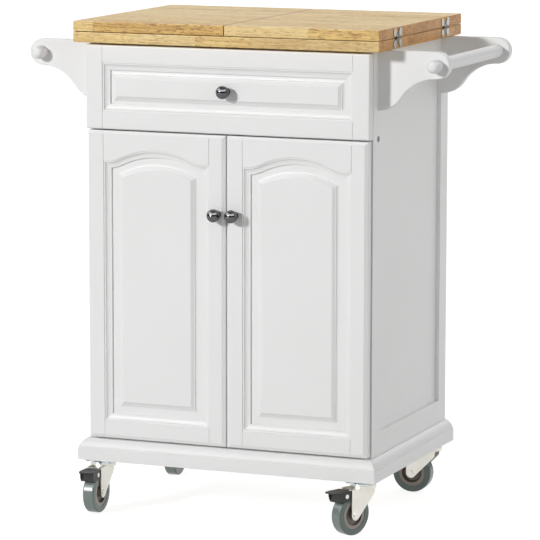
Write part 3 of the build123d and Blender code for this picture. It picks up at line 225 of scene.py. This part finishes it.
def lay_staves(tree, x, y, upper, finish):
    """Rows of finger-jointed staves along X.

    Gives each stave's tone from 0 to 1, its chance value and colour, and the rows counted from the
    front. On the front edges the staves end where the photo shows it, and elsewhere by chance.
    """
    across = y
    for operation, term in (("SUBTRACT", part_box("worktop_board")[0][1]), ("DIVIDE", finish.stave_width)):
        across = add_node(tree, "ShaderNodeMath", {0: across, 1: term}, {"operation": operation})
    row = add_node(tree, "ShaderNodeMath", {0: across}, {"operation": "FLOOR"})
    front_row = add_node(tree, "ShaderNodeMath", {0: row, 1: 0.5}, {"operation": "LESS_THAN"})
    row_number = add_node(tree, "ShaderNodeMath", {0: upper, 1: LEAF_ROWS_FROM, 2: row},
                          {"operation": "MULTIPLY_ADD"})
    slide = add_node(tree, "ShaderNodeTexWhiteNoise", {"W": row_number}, {"noise_dimensions": "1D"})
    # The fingers show as a zigzag from above
    along = y
    for operation, term in (("PINGPONG", FINGER_PITCH / 2 * MM),
                            ("MULTIPLY", FINGER_LENGTH / (FINGER_PITCH / 2)), ("ADD", x),
                            ("DIVIDE", finish.stave_length), ("ADD", slide)):
        along = add_node(tree, "ShaderNodeMath", {0: along, 1: term}, {"operation": operation})
    stave_number = add_node(tree, "ShaderNodeMath", {0: along}, {"operation": "FLOOR"})
    left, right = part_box("leaf_left")[0][0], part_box("leaf_right")[1][0]
    from_left = add_node(tree, "ShaderNodeMapRange", {"Value": x, "From Min": left, "From Max": right})
    edges = []
    for staves in (BOARD_STAVES, LEAF_STAVES):
        edge = add_node(tree, "ShaderNodeValToRGB", {"Fac": from_left})
        edge.color_ramp.interpolation = "CONSTANT"
        stops = edge.color_ramp.elements
        stops.remove(stops[1])
        for start, tone in staves:
            stop = stops.new(start * MM / (right - left)) if start else stops[0]
            stop.color = (tone, tone, tone, 1.0)
        edges.append(edge)
    edge_tone = add_node(tree, "ShaderNodeMix", {"Factor": upper, "A": edges[0], "B": edges[1]},
                         {"data_type": "RGBA"})
    edge_number = add_node(tree, "ShaderNodeMath", {0: edge_tone, 1: 100.0}, {"operation": "MULTIPLY"})
    number = add_node(tree, "ShaderNodeMix", {"Factor": front_row, "A": stave_number, "B": edge_number})
    stave = add_node(tree, "ShaderNodeCombineXYZ", {"X": number, "Y": row_number})
    chance = add_node(tree, "ShaderNodeTexWhiteNoise", {"Vector": stave}, {"noise_dimensions": "3D"})
    any_tone = add_node(tree, "ShaderNodeMapRange", {"Value": chance, "To Min": 0.10, "To Max": 0.62})
    tone = add_node(tree, "ShaderNodeMix", {"Factor": front_row, "A": any_tone, "B": edge_tone})
    return tone, chance, across


def grow_wood(tree, place, chance):
    """Patterns of the wood, shifted by chance from stave to stave.

    They are growth lines 2.5 mm apart and 60 mm long, broader bands 14 mm apart, pores and, on the
    sawn ends, rings. Pores are drawn 2.5 mm wide, about eight times too coarse, so that they show.
    """
    shift = add_node(tree, "ShaderNodeVectorMath", {0: chance.outputs["Color"], 1: (7.0, 3.0, 5.0)},
                     {"operation": "MULTIPLY"})
    patterns = []
    for scale, detail, distortion in ((per_metre(62.5, 2.5, 2.5), 5.0, 0.5),
                                      (per_metre(166.7, 14.29, 14.29), 3.0, 0.9),
                                      (per_metre(13.33, 2.5, 2.5), 2.0, 0.4),
                                      (per_metre(3.846, 7.69, 3.333), 4.0, 1.6)):
        spot = add_node(tree, "ShaderNodeMapping", {"Vector": place, "Location": shift, "Scale": scale})
        patterns.append(add_node(tree, "ShaderNodeTexNoise",
                                 {"Vector": spot, "Scale": 1.0, "Detail": detail, "Roughness": 0.6,
                                  "Distortion": distortion}))
    return patterns


def rubberwood(finish):
    """Laminated rubberwood under clear lacquer.

    Short staves are finger-jointed into rows and glued side by side. To the eye the tone changes from
    stave to stave, fine brown pores run along them, their sawn ends are darker, and the lacquer gives
    a soft sheen.
    """
    material, tree = start_material("Lacquered laminated rubberwood")
    around = add_node(tree, "ShaderNodeTexCoord")
    place = around.outputs["Object"]
    facing = add_node(tree, "ShaderNodeSeparateXYZ", {"Vector": around.outputs["Normal"]})
    x, y, z = add_node(tree, "ShaderNodeSeparateXYZ", {"Vector": place}).outputs
    just_below_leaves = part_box("leaf_left")[0][2] - BELOW_LEAVES * MM
    upper = add_node(tree, "ShaderNodeMath", {0: z, 1: just_below_leaves}, {"operation": "GREATER_THAN"})
    tone, chance, across = lay_staves(tree, x, y, upper, finish)
    grain, bands, pores, rings = grow_wood(tree, place, chance)

    body = add_node(tree, "ShaderNodeValToRGB", {"Fac": tone})
    body.color_ramp.elements[0].color = finish.light_stave
    body.color_ramp.elements[1].color = finish.dark_stave
    body.color_ramp.elements.new(0.45).color = finish.mid_stave
    # Each layer's pattern, where it starts and is full, how far it covers, and its colour. Layers
    # cover more on darker staves
    strength = add_node(tree, "ShaderNodeMapRange",
                        {"Value": tone, "From Min": 0.1, "To Min": 0.45, "To Max": 1.0})
    for pattern, start, full, most, colour in ((grain, 0.46, 0.66, 0.85, "#AC7324"),
                                               (bands, 0.45, 0.68, 0.50, "#BC8A3C"),
                                               (pores, 0.53, 0.63, 0.85, "#84521A")):
        amount = add_node(tree, "ShaderNodeMapRange",
                          {"Value": pattern, "From Min": start, "From Max": full, "To Max": most})
        amount = add_node(tree, "ShaderNodeMath", {0: amount, 1: strength}, {"operation": "MULTIPLY"})
        body = add_node(tree, "ShaderNodeMix", {"Factor": amount, "A": body, "B": linear(colour)},
                        {"data_type": "RGBA"})

    # Glue lines between rows are darker beside some staves than others
    before = add_node(tree, "ShaderNodeMath", {0: across}, {"operation": "FRACT"})
    after = add_node(tree, "ShaderNodeMath", {0: 1.0, 1: before}, {"operation": "SUBTRACT"})
    beside = add_node(tree, "ShaderNodeMath", {0: before, 1: after}, {"operation": "MINIMUM"})
    glue = add_node(tree, "ShaderNodeMapRange", {"Value": beside, "From Min": GLUE_FULL,
                                                 "From Max": GLUE_GONE, "To Min": 0.6, "To Max": 0.0})
    glue = add_node(tree, "ShaderNodeMath", {0: glue, 1: chance}, {"operation": "MULTIPLY"})
    body = add_node(tree, "ShaderNodeMix", {"Factor": glue, "A": body, "B": linear("#9A7440")},
                    {"data_type": "RGBA"})

    # Painted shade of the seam's gap, on the eased top edges on each side of the seam between the leaves
    middle = (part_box("leaf_left")[1][0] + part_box("leaf_right")[0][0]) / 2
    away = add_node(tree, "ShaderNodeMath", {0: x, 1: middle}, {"operation": "SUBTRACT"})
    away = add_node(tree, "ShaderNodeMath", {0: away}, {"operation": "ABSOLUTE"})
    seam_shade = add_node(tree, "ShaderNodeMapRange",
                    {"Value": away, "From Min": SEAM_SHADE * MM,
                     "From Max": (SEAM_SHADE + SEAM_SHADE_EDGE) * MM, "To Min": 0.9, "To Max": 0.0})
    level = add_node(tree, "ShaderNodeMapRange",
                     {"Value": facing.outputs["Z"], "From Min": 0.5, "From Max": 0.9})
    for limit in (upper, level):
        seam_shade = add_node(tree, "ShaderNodeMath", {0: seam_shade, 1: limit}, {"operation": "MULTIPLY"})
    body = add_node(tree, "ShaderNodeMix", {"Factor": seam_shade, "A": body, "B": linear("#94561A")},
                    {"data_type": "RGBA"})

    # Sawn ends face along X
    ringed = add_node(tree, "ShaderNodeMapRange", {"Value": rings, "From Min": 0.42, "From Max": 0.6})
    end = add_node(tree, "ShaderNodeMix",
                   {"Factor": ringed, "A": finish.end_grain, "B": linear("#935A24")},
                   {"data_type": "RGBA"})
    paler = add_node(tree, "ShaderNodeMapRange", {"Value": chance, "To Max": 0.6})
    end = add_node(tree, "ShaderNodeMix", {"Factor": paler, "A": end, "B": linear("#D6A05A")},
                   {"data_type": "RGBA"})
    sideways = add_node(tree, "ShaderNodeMath", {0: facing.outputs["X"]}, {"operation": "ABSOLUTE"})
    sawn = add_node(tree, "ShaderNodeMapRange", {"Value": sideways, "From Min": 0.55, "From Max": 0.85})
    body = add_node(tree, "ShaderNodeMix", {"Factor": sawn, "A": body, "B": end}, {"data_type": "RGBA"})

    # Shade gathers in the seams and around the hinges
    near = add_node(tree, "ShaderNodeAmbientOcclusion", {"Distance": 2.5 * MM}, {"samples": 6})
    seam = add_node(tree, "ShaderNodeMapRange",
                    {"Value": near.outputs["AO"], "From Min": 0.25, "From Max": 0.75, "To Min": 0.75,
                     "To Max": 0.0})
    body = add_node(tree, "ShaderNodeMix", {"Factor": seam, "A": body, "B": linear("#4A2E16")},
                    {"data_type": "RGBA"})
    rough = add_node(tree, "ShaderNodeMapRange",
                     {"Value": grain, "From Min": 0.3, "From Max": 0.7, "To Min": 0.36, "To Max": 0.50})
    rounded = add_node(tree, "ShaderNodeBevel", {"Radius": 0.6 * MM}, {"samples": 4})
    bump = add_node(tree, "ShaderNodeBump",
                    {"Strength": 0.25, "Distance": 0.08 * MM, "Height": grain, "Normal": rounded})
    close_material(tree, {"Base Color": body, "Roughness": rough, "Normal": bump, "IOR": 1.5,
                          "Coat Weight": 0.18, "Coat Roughness": 0.22})
    return material


def white_paint(finish):
    """Satin lacquer paint sprayed on wood.

    To the eye it is even and white with a soft sheen, a faint orange-peel ripple and softened edges.
    Its corners are darkened with painted shade.
    """
    material, tree = start_material("Sprayed satin white paint on wood")
    place = add_node(tree, "ShaderNodeTexCoord").outputs["Object"]
    # Faint clouds about 330 mm across, as of uneven spraying
    cloud = add_node(tree, "ShaderNodeTexNoise",
                     {"Vector": place, "Scale": per_metre(333.3), "Detail": 3.0})
    colour = add_node(tree, "ShaderNodeMix", {"Factor": cloud, "A": finish.paint, "B": linear("#E9E9E8")},
                      {"data_type": "RGBA"})
    # Painted shade: darker where other surfaces are close, in the corners and along the mouldings
    corner = add_node(tree, "ShaderNodeAmbientOcclusion", {"Distance": 3 * MM}, {"samples": 6})
    dust_and_shade = add_node(tree, "ShaderNodeMapRange",
                    {"Value": corner.outputs["AO"], "From Min": 0.1, "From Max": 0.75, "To Min": 0.38,
                     "To Max": 0.0})
    colour = add_node(tree, "ShaderNodeMix", {"Factor": dust_and_shade, "A": colour, "B": linear("#AFAEAC")},
                      {"data_type": "RGBA"})
    # Orange peel of sprayed paint is about 2.5 mm from crest to crest
    peel = add_node(tree, "ShaderNodeTexNoise", {"Vector": place, "Scale": per_metre(2.5), "Detail": 1.0})
    rounded = add_node(tree, "ShaderNodeBevel", {"Radius": finish.paint_edge_radius}, {"samples": 4})
    ripple = add_node(tree, "ShaderNodeBump",
                      {"Strength": 0.10, "Distance": 0.02 * MM, "Height": peel, "Normal": rounded})
    rough = add_node(tree, "ShaderNodeMapRange", {"Value": cloud, "To Min": 0.40, "To Max": 0.50})
    close_material(tree, {"Base Color": colour, "Roughness": rough, "Normal": ripple, "IOR": 1.5})
    return material


def plain_board(name, colour, line_colour, roughness):
    """Flat board with faint lines along it, such as melamine-faced chipboard or planed pine."""
    material, tree = start_material(name)
    place = add_node(tree, "ShaderNodeTexCoord").outputs["Object"]
    # Lines are about 4 mm apart and 33 mm long
    stretch = add_node(tree, "ShaderNodeMapping",
                       {"Vector": place, "Scale": per_metre(33.33, 3.846, 3.846)})
    lines = add_node(tree, "ShaderNodeTexNoise", {"Vector": stretch, "Scale": 1.0, "Detail": 4.0})
    shade = add_node(tree, "ShaderNodeMapRange",
                     {"Value": lines, "From Min": 0.35, "From Max": 0.75, "To Max": 0.6})
    mixed = add_node(tree, "ShaderNodeMix", {"Factor": shade, "A": colour, "B": linear(line_colour)},
                     {"data_type": "RGBA"})
    bump = add_node(tree, "ShaderNodeBump", {"Strength": 0.15, "Distance": 0.05 * MM, "Height": lines})
    close_material(tree, {"Base Color": mixed, "Roughness": roughness, "Normal": bump})
    return material


def plated_metal(name, colour, stain, roughness, smear, spot_mm):
    """Plated metal: patches of a second tone and gloss, spot_mm across, and painted shade in the corners.
    """
    material, tree = start_material(name)
    place = add_node(tree, "ShaderNodeTexCoord").outputs["Object"]
    patches = add_node(tree, "ShaderNodeTexNoise",
                       {"Vector": place, "Scale": per_metre(spot_mm), "Detail": 3.0})
    amount = add_node(tree, "ShaderNodeMapRange",
                      {"Value": patches, "From Min": 0.35, "From Max": 0.8, "To Max": 0.6})
    mixed = add_node(tree, "ShaderNodeMix", {"Factor": amount, "A": colour, "B": linear(stain)},
                     {"data_type": "RGBA"})
    # Painted shade: darker where other surfaces are close, in corners and along contact lines
    near = add_node(tree, "ShaderNodeAmbientOcclusion", {"Distance": 2 * MM}, {"samples": 4})
    corner_shade = add_node(tree, "ShaderNodeMapRange",
                     {"Value": near.outputs["AO"], "From Min": 0.2, "From Max": 0.7, "To Min": 0.7,
                      "To Max": 0.0})
    mixed = add_node(tree, "ShaderNodeMix", {"Factor": corner_shade, "A": mixed, "B": linear("#4E4B46")},
                     {"data_type": "RGBA"})
    gloss = add_node(tree, "ShaderNodeMapRange",
                     {"Value": patches, "From Min": 0.3, "From Max": 0.8, "To Min": roughness,
                      "To Max": roughness + smear})
    close_material(tree, {"Base Color": mixed, "Roughness": gloss, "Metallic": 1.0})
    return material


def screwed_nickel(finish):
    """Bright nickel plate on stamped steel.

    To the eye it mirrors the room in smeared patches. Each round lobe shows the head of its sunk screw
    with painted shade in its socket and in a ring about it, and painted shade on the lobe's turned-down
    rim.
    """
    material, tree = start_material("Nickel plate with sunk screws")
    place = add_node(tree, "ShaderNodeTexCoord").outputs["Object"]
    split = add_node(tree, "ShaderNodeSeparateXYZ", {"Vector": place})
    low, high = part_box("leaf_hinge_flaps_right")
    knuckle = (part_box("leaf_right")[0][2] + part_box("worktop_board")[1][2]) / 2
    lobe = SCREW_SPACING / 2 * MM
    hinge_middle = (high[1] - low[1]) / 2 - lobe - LOBE_RADIUS * MM
    # Folding space about these places in turn brings the screws of all four hinges together
    folded = []
    for source, folds in ((split.outputs["Y"], ((low[1] + high[1]) / 2, hinge_middle, lobe)),
                          (split.outputs["Z"], (knuckle, SCREW_REACH * MM))):
        for fold in folds:
            source = add_node(tree, "ShaderNodeMath", {0: source, 1: fold}, {"operation": "SUBTRACT"})
            source = add_node(tree, "ShaderNodeMath", {0: source}, {"operation": "ABSOLUTE"})
        folded.append(source)
    both = add_node(tree, "ShaderNodeCombineXYZ", {"X": folded[0], "Y": folded[1]})
    reach = add_node(tree, "ShaderNodeVectorMath", {0: both}, {"operation": "LENGTH"})
    # Distance from the screw's middle, as a share of this radius in mm
    span_radius = 10
    span = add_node(tree, "ShaderNodeMapRange", {"Value": reach, "From Max": span_radius * MM})
    # Painted shade for the socket and the ring about the screw head, the plate's own nickel, and a darker
    # painted shade for the rim
    screw_shade, bright, rim = linear("#3B3835"), finish.hinge, linear("#77736C")
    recess = add_node(tree, "ShaderNodeValToRGB", {"Fac": span})
    stops = recess.color_ramp.elements
    stops.remove(stops[1])
    stops[0].position = 0.06
    stops[0].color = screw_shade
    # Painted shade in the head's socket, the head, painted shade in the ring about it, the plate, and
    # painted shade on its turned-down rim
    for position, colour in ((0.10, bright), (0.26, bright), (0.30, screw_shade), (0.38, screw_shade), (0.44, bright),
                             (0.62, bright), (0.72, rim)):
        stops.new(position).color = colour
    # Smears of handling are about 4 mm across
    smears = add_node(tree, "ShaderNodeTexNoise", {"Vector": place, "Scale": per_metre(4), "Detail": 3.0})
    gloss = add_node(tree, "ShaderNodeMapRange", {"Value": smears, "To Min": 0.16, "To Max": 0.34})
    close_material(tree, {"Base Color": recess, "Roughness": gloss, "Metallic": 1.0})
    return material


def axle_distance(tree, place, axle, across):
    """Distance of each point from a wheel's axle, in metres."""
    offset = add_node(tree, "ShaderNodeVectorMath", {0: place, 1: axle}, {"operation": "SUBTRACT"})
    cross = add_node(tree, "ShaderNodeVectorMath", {0: offset, 1: across}, {"operation": "CROSS_PRODUCT"})
    return add_node(tree, "ShaderNodeVectorMath", {0: cross}, {"operation": "LENGTH"})


def grey_rubber(finish, corner, axle, across):
    """Moulded grey thermoplastic rubber.

    To the eye it is smooth and half glossy, with paler dust where the tread meets the floor.
    """
    material, tree = start_material(f"Moulded grey rubber, {corner}")
    place = add_node(tree, "ShaderNodeTexCoord").outputs["Object"]
    reach = axle_distance(tree, place, axle, across)
    tread = add_node(tree, "ShaderNodeMapRange", {"Value": reach, "From Min": TREAD_START * MM,
                                                  "From Max": TREAD_FULL * MM, "To Max": 0.45})
    # Specks of dust are drawn about 2 mm across, coarser than real, so that they show
    specks = add_node(tree, "ShaderNodeTexNoise", {"Vector": place, "Scale": per_metre(2), "Detail": 3.0})
    dust_and_shade = add_node(tree, "ShaderNodeMath", {0: tread, 1: specks}, {"operation": "MULTIPLY"})
    mixed = add_node(tree, "ShaderNodeMix", {"Factor": dust_and_shade, "A": finish.tyre, "B": linear("#A3A39D")},
                     {"data_type": "RGBA"})
    bump = add_node(tree, "ShaderNodeBump", {"Strength": 0.2, "Distance": 0.06 * MM, "Height": specks})
    close_material(tree, {"Base Color": mixed, "Roughness": 0.24, "Normal": bump})
    return material


def moulded_hub(finish, corner, axle, across):
    """Injection-moulded plastic wheel centre.

    To the eye it is a half matt paler ring under the tyre, a groove darkened with painted shade and a
    darker dished web.
    """
    material, tree = start_material(f"Moulded plastic wheel centre, {corner}")
    place = add_node(tree, "ShaderNodeTexCoord").outputs["Object"]
    reach = axle_distance(tree, place, axle, across)
    share = add_node(tree, "ShaderNodeMapRange", {"Value": reach, "From Max": CENTRE_RADIUS * MM})
    zones = add_node(tree, "ShaderNodeValToRGB", {"Fac": share})
    zones.color_ramp.interpolation = "CONSTANT"
    stops = zones.color_ramp.elements
    stops[0].color = finish.web
    stops[1].color = finish.rim
    stops[1].position = RING_START / CENTRE_RADIUS
    # Painted shade: the groove between the pale ring and the web is darker
    stops.new(GROOVE_START / CENTRE_RADIUS).color = linear("#4C4641")
    # Specks of dust are drawn about 3 mm across, coarser than real, so that they show
    specks = add_node(tree, "ShaderNodeTexNoise",
                      {"Vector": place, "Scale": per_metre(3.333), "Detail": 3.0})
    dust_and_shade = add_node(tree, "ShaderNodeMapRange",
                    {"Value": specks, "From Min": 0.45, "From Max": 0.8, "To Max": 0.3})
    worn = add_node(tree, "ShaderNodeMix", {"Factor": dust_and_shade, "A": zones, "B": linear("#9A918B")},
                    {"data_type": "RGBA"})
    close_material(tree, {"Base Color": worn, "Roughness": 0.42})
    return material


def black_coating(finish):
    """Black dip coating on pressed steel.

    To the eye it is glossy, and greyer and duller where shoes have rubbed it.
    """
    material, tree = start_material("Black coated pressed steel")
    place = add_node(tree, "ShaderNodeTexCoord").outputs["Object"]
    # Rubbed patches are about 6 mm across
    rubs = add_node(tree, "ShaderNodeTexNoise", {"Vector": place, "Scale": per_metre(6.25), "Detail": 4.0})
    amount = add_node(tree, "ShaderNodeMapRange",
                      {"Value": rubs, "From Min": 0.5, "From Max": 0.8, "To Max": 0.5})
    mixed = add_node(tree, "ShaderNodeMix", {"Factor": amount, "A": finish.pedal, "B": linear("#3A3A3B")},
                     {"data_type": "RGBA"})
    gloss = add_node(tree, "ShaderNodeMapRange", {"Value": rubs, "To Min": 0.25, "To Max": 0.5})
    close_material(tree, {"Base Color": mixed, "Roughness": gloss})
    return material


class TROLLEY_OT_worktop(bpy.types.Operator):
    """Finish the fixed board and the two folding leaves as laminated wood"""
    bl_idname = "trolley.worktop"
    bl_label = "Worktop"

    def execute(self, context):
        dress(["worktop_board", "leaf_left", "leaf_right"], rubberwood(context.scene.trolley_finish))
        return {"FINISHED"}


class TROLLEY_OT_painted_wood(bpy.types.Operator):
    """Paint the cabinet, its fronts, the plinth, the brackets and the towel rails white"""
    bl_idname = "trolley.painted_wood"
    bl_label = "Painted wood"

    def execute(self, context):
        names = ["divider_rail", "plinth_frame", "drawer_front_frame", "drawer_front_panel"]
        for words in (("side_frame",), ("side_panel",), ("towel_",), ("door_", "_frame"),
                      ("door_", "_panel")):
            names += pieces_with(*words)
        dress(names, white_paint(context.scene.trolley_finish))
        return {"FINISHED"}


class TROLLEY_OT_inside_boards(bpy.types.Operator):
    """Finish the boards inside the cabinet and the drawer, the back panel and the hidden blocks"""
    bl_idname = "trolley.inside_boards"
    bl_label = "Inside boards"

    def execute(self, context):
        finish = context.scene.trolley_finish
        # Melamine paper pressed on chipboard: even, pale and a little glossy
        faced = plain_board("Melamine-faced board", finish.inside_board, "#E1DDD5", 0.45)
        dress(["back_panel", "floor_panel", "shelf", "drawer_sides", "drawer_ends", "drawer_bottom"], faced)
        # Planed pine without finish: yellow and matt, with brown lines along the grain
        pine = plain_board("Planed pine", finish.pine, "#B98F5A", 0.6)
        dress(["top_rails", "caster_blocks"], pine)
        return {"FINISHED"}


class TROLLEY_OT_knobs(bpy.types.Operator):
    """Plate the three knobs in dark polished metal"""
    bl_idname = "trolley.knobs"
    bl_label = "Knobs"

    def execute(self, context):
        # Zinc casting, polished and plated with black nickel: a dark, sharp mirror of the room
        nickel = plated_metal("Polished black nickel plate", context.scene.trolley_finish.knob, "#5A5A5D",
                              0.07, 0.05, 9)
        dress(pieces_with("_knob"), nickel)
        return {"FINISHED"}


class TROLLEY_OT_metalwork(bpy.types.Operator):
    """Plate the hinges, runners, screws, bolts and pins"""
    bl_idname = "trolley.metalwork"
    bl_label = "Hinges, runners and fasteners"

    def execute(self, context):
        finish = context.scene.trolley_finish
        # Nickel plate on stamped steel: warm and bright, blurred a little by handling
        nickel = plated_metal("Nickel-plated steel", finish.hinge, "#8F8B84", 0.22, 0.16, 4)
        dress(pieces_with("door_", "hinge"), nickel)
        dress(pieces_with("leaf_hinge"), screwed_nickel(finish))
        # Zinc coat on rolled steel: cool grey and dull, in patches
        galvanised = plated_metal("Galvanised steel", finish.runner, "#9AA0A4", 0.35, 0.15, 8)
        dress(pieces_with("drawer_runners"), galvanised)
        # Thin zinc plate on turned screws and pins: pale grey and half bright
        steel = plated_metal("Plated screw steel", finish.fastener, "#85837D", 0.28, 0.15, 3)
        dress(["shelf_pins", "caster_screws"], steel)
        # Oil-blackened steel: dark grey and dull
        dull = plated_metal("Blackened bolt steel", finish.bolt, "#4B4A48", 0.42, 0.15, 2)
        dress(["side_fasteners"], dull)
        return {"FINISHED"}


class TROLLEY_OT_casters(bpy.types.Operator):
    """Finish the casters: zinc-plated forks and plates, grey tyres, plastic centres, black pedals"""
    bl_idname = "trolley.casters"
    bl_label = "Casters"

    def execute(self, context):
        finish = context.scene.trolley_finish
        # Bright zinc plate on pressed steel: pale and a little warm, with soft reflections
        zinc = plated_metal("Bright zinc plate on pressed steel", finish.zinc, "#CBC9C0", 0.30, 0.05, 25)
        dress(pieces_with("caster_", "_fork"), zinc)
        # Blue-passivated zinc plate on flat steel: cool, with sharper reflections
        polished = plated_metal("Blue-passivated zinc plate", finish.plate, "#9FB0B4", 0.12, 0.06, 9)
        dress(["caster_plates"], polished)
        for joint in frame["joints"]:
            if not joint["name"].endswith("_roll"):
                continue
            corner = joint["name"][len("caster_"):-len("_roll")]
            axle, across = tuple(joint["pos_m"]), tuple(joint["axis"])
            label = corner.replace("_", " ")
            dress([f"caster_{corner}_tyre"], grey_rubber(finish, label, axle, across))
            dress([f"caster_{corner}_hub"], moulded_hub(finish, label, axle, across))
        dress(pieces_with("caster_", "_pedal"), black_coating(finish))
        return {"FINISHED"}


def aim(thing, target):
    """Turn a light or a screen towards a point."""
    thing.rotation_euler = (target - thing.location).to_track_quat("-Z", "Y").to_euler()


def lay_floor(studio):
    """Matt painted studio floor.

    To the eye it is white and even, without a horizon. It throws back less light than that on the
    trolley.
    """
    bpy.ops.mesh.primitive_plane_add(size=studio.floor_size)
    floor = bpy.context.object
    floor.name = "studio_floor"
    material, tree = start_material("Pale studio floor")
    place = add_node(tree, "ShaderNodeTexCoord").outputs["Object"]
    # Faint clouds are about 1.25 m across
    cloud = add_node(tree, "ShaderNodeTexNoise", {"Vector": place, "Scale": per_metre(1250)})
    pale = add_node(tree, "ShaderNodeMix", {"Factor": cloud, "A": studio.floor, "B": linear("#939392")},
                    {"data_type": "RGBA"})
    path = add_node(tree, "ShaderNodeLightPath")
    glow = add_node(tree, "ShaderNodeMapRange",
                    {"Value": path.outputs["Is Diffuse Ray"], "To Min": FLOOR_GLOW, "To Max": FLOOR_LIGHT})
    close_material(tree, {"Base Color": pale, "Roughness": 0.9, "Emission Color": WHITE,
                          "Emission Strength": glow})
    floor.data.materials.append(material)


def light_room(scene, studio):
    """Soft white light, stronger from the right and the back.

    Glossy surfaces mirror dark walls, a ring of bright panels above them and a dim ceiling.
    """
    world = bpy.data.worlds.new("White room")
    scene.world = world
    world.use_nodes = True
    tree = world.node_tree
    tree.nodes.clear()
    path = add_node(tree, "ShaderNodeLightPath")
    around = add_node(tree, "ShaderNodeTexCoord").outputs["Generated"]
    even = add_node(tree, "ShaderNodeVectorMath", {0: around, 1: ROOM_LEAN}, {"operation": "DOT_PRODUCT"})
    for operation, term in (("ADD", studio.sky), ("MAXIMUM", 0.0)):
        even = add_node(tree, "ShaderNodeMath", {0: even, 1: term}, {"operation": operation})
    height = add_node(tree, "ShaderNodeSeparateXYZ", {"Vector": around}).outputs["Z"]
    panels = add_node(tree, "ShaderNodeMapRange",
                      {"Value": height, "From Min": PANELS_START, "From Max": PANELS_FULL,
                       "To Min": studio.walls, "To Max": studio.panels})
    above = add_node(tree, "ShaderNodeMapRange",
                     {"Value": height, "From Min": CEILING_START, "From Max": CEILING_FULL})
    mirrored = add_node(tree, "ShaderNodeMix", {"Factor": above, "A": panels, "B": CEILING_GLOW})
    glow = add_node(tree, "ShaderNodeMix",
                    {"Factor": path.outputs["Is Glossy Ray"], "A": even, "B": mirrored})
    room = add_node(tree, "ShaderNodeBackground", {"Color": WHITE, "Strength": glow})
    seen = add_node(tree, "ShaderNodeBackground", {"Color": WHITE, "Strength": 1.0})
    both = add_node(tree, "ShaderNodeMixShader", {"Fac": path.outputs["Is Camera Ray"], 1: room, 2: seen})
    add_node(tree, "ShaderNodeOutputWorld", {"Surface": both})


def hang_key_light(scene, studio):
    """Square soft light at the left of the camera."""
    light = bpy.data.lights.new("Key light", "AREA")
    light.energy = studio.key_power
    light.size = studio.key_size
    key_light = bpy.data.objects.new("key_light", light)
    key_light.location = FRONT_MIDDLE + KEY_DISTANCE * KEY_DIRECTION
    scene.collection.objects.link(key_light)
    aim(key_light, FRONT_MIDDLE)


def hang_cloth():
    """Black woven cotton cloth behind the camera, matt to the eye, which only shiny metal mirrors."""
    bpy.ops.mesh.primitive_plane_add(size=1.0)
    cloth = bpy.context.object
    cloth.name = "black_cloth"
    cloth.scale = CLOTH_SIZE
    cloth.location = CLOTH_PLACE
    aim(cloth, FRONT_MIDDLE)
    material, tree = start_material("Black cotton studio cloth")
    close_material(tree, {"Base Color": linear("#101010"), "Roughness": 1.0})
    cloth.data.materials.append(material)
    cloth.visible_camera = False
    cloth.visible_diffuse = False
    cloth.visible_shadow = False


def place_camera(scene, studio):
    """Camera where the photo was taken from, to the right of the trolley's front."""
    camera_data = bpy.data.cameras.new("Camera")
    camera_data.lens = studio.focal_length
    camera_data.sensor_width = SENSOR_WIDTH
    camera_data.clip_end = CLIP_END
    camera = bpy.data.objects.new("camera", camera_data)
    turn = Matrix.Rotation(math.radians(CAMERA_TURN), 4, "Z")
    tilt = Matrix.Rotation(math.radians(90 - CAMERA_DOWN), 4, "X")
    roll = Matrix.Rotation(math.radians(CAMERA_ROLL), 4, "Z")
    camera.matrix_world = Matrix.Translation(CAMERA_PLACE) @ turn @ tilt @ roll
    scene.collection.objects.link(camera)
    scene.camera = camera


class TROLLEY_OT_studio(bpy.types.Operator):
    """Make the pale floor, the soft lights, the white room and the camera"""
    bl_idname = "trolley.studio"
    bl_label = "Studio"

    def execute(self, context):
        scene = context.scene
        studio = scene.trolley_studio
        lay_floor(studio)
        light_room(scene, studio)
        hang_key_light(scene, studio)
        hang_cloth()
        place_camera(scene, studio)
        scene.view_settings.view_transform = "Standard"
        return {"FINISHED"}


class TROLLEY_PT_panel(bpy.types.Panel):
    """Lists the trolley's settings and the buttons of its operators"""
    bl_idname = "TROLLEY_PT_panel"
    bl_label = "Kitchen trolley"
    bl_space_type = "VIEW_3D"
    bl_region_type = "UI"
    bl_category = "Trolley"

    def draw(self, context):
        for group in (context.scene.trolley_finish, context.scene.trolley_studio):
            for name in group.__annotations__:
                self.layout.prop(group, name)
        for operator in OPERATORS:
            self.layout.operator(operator.bl_idname)


OPERATORS = (TROLLEY_OT_worktop, TROLLEY_OT_painted_wood, TROLLEY_OT_inside_boards, TROLLEY_OT_knobs,
             TROLLEY_OT_metalwork, TROLLEY_OT_casters, TROLLEY_OT_studio)
CLASSES = (TrolleyFinish, TrolleyStudio) + OPERATORS + (TROLLEY_PT_panel,)


def register():
    """Register the classes and hang the settings on the scene."""
    for cls in CLASSES:
        bpy.utils.register_class(cls)
    bpy.types.Scene.trolley_finish = bpy.props.PointerProperty(type=TrolleyFinish)
    bpy.types.Scene.trolley_studio = bpy.props.PointerProperty(type=TrolleyStudio)


def unregister():
    """Take the settings and the classes away again."""
    del bpy.types.Scene.trolley_studio
    del bpy.types.Scene.trolley_finish
    for cls in reversed(CLASSES):
        bpy.utils.unregister_class(cls)


def main():
    register()
    bpy.ops.trolley.worktop()
    bpy.ops.trolley.painted_wood()
    bpy.ops.trolley.inside_boards()
    bpy.ops.trolley.knobs()
    bpy.ops.trolley.metalwork()
    bpy.ops.trolley.casters()
    bpy.ops.trolley.studio()


if __name__ == "__main__":
    main()
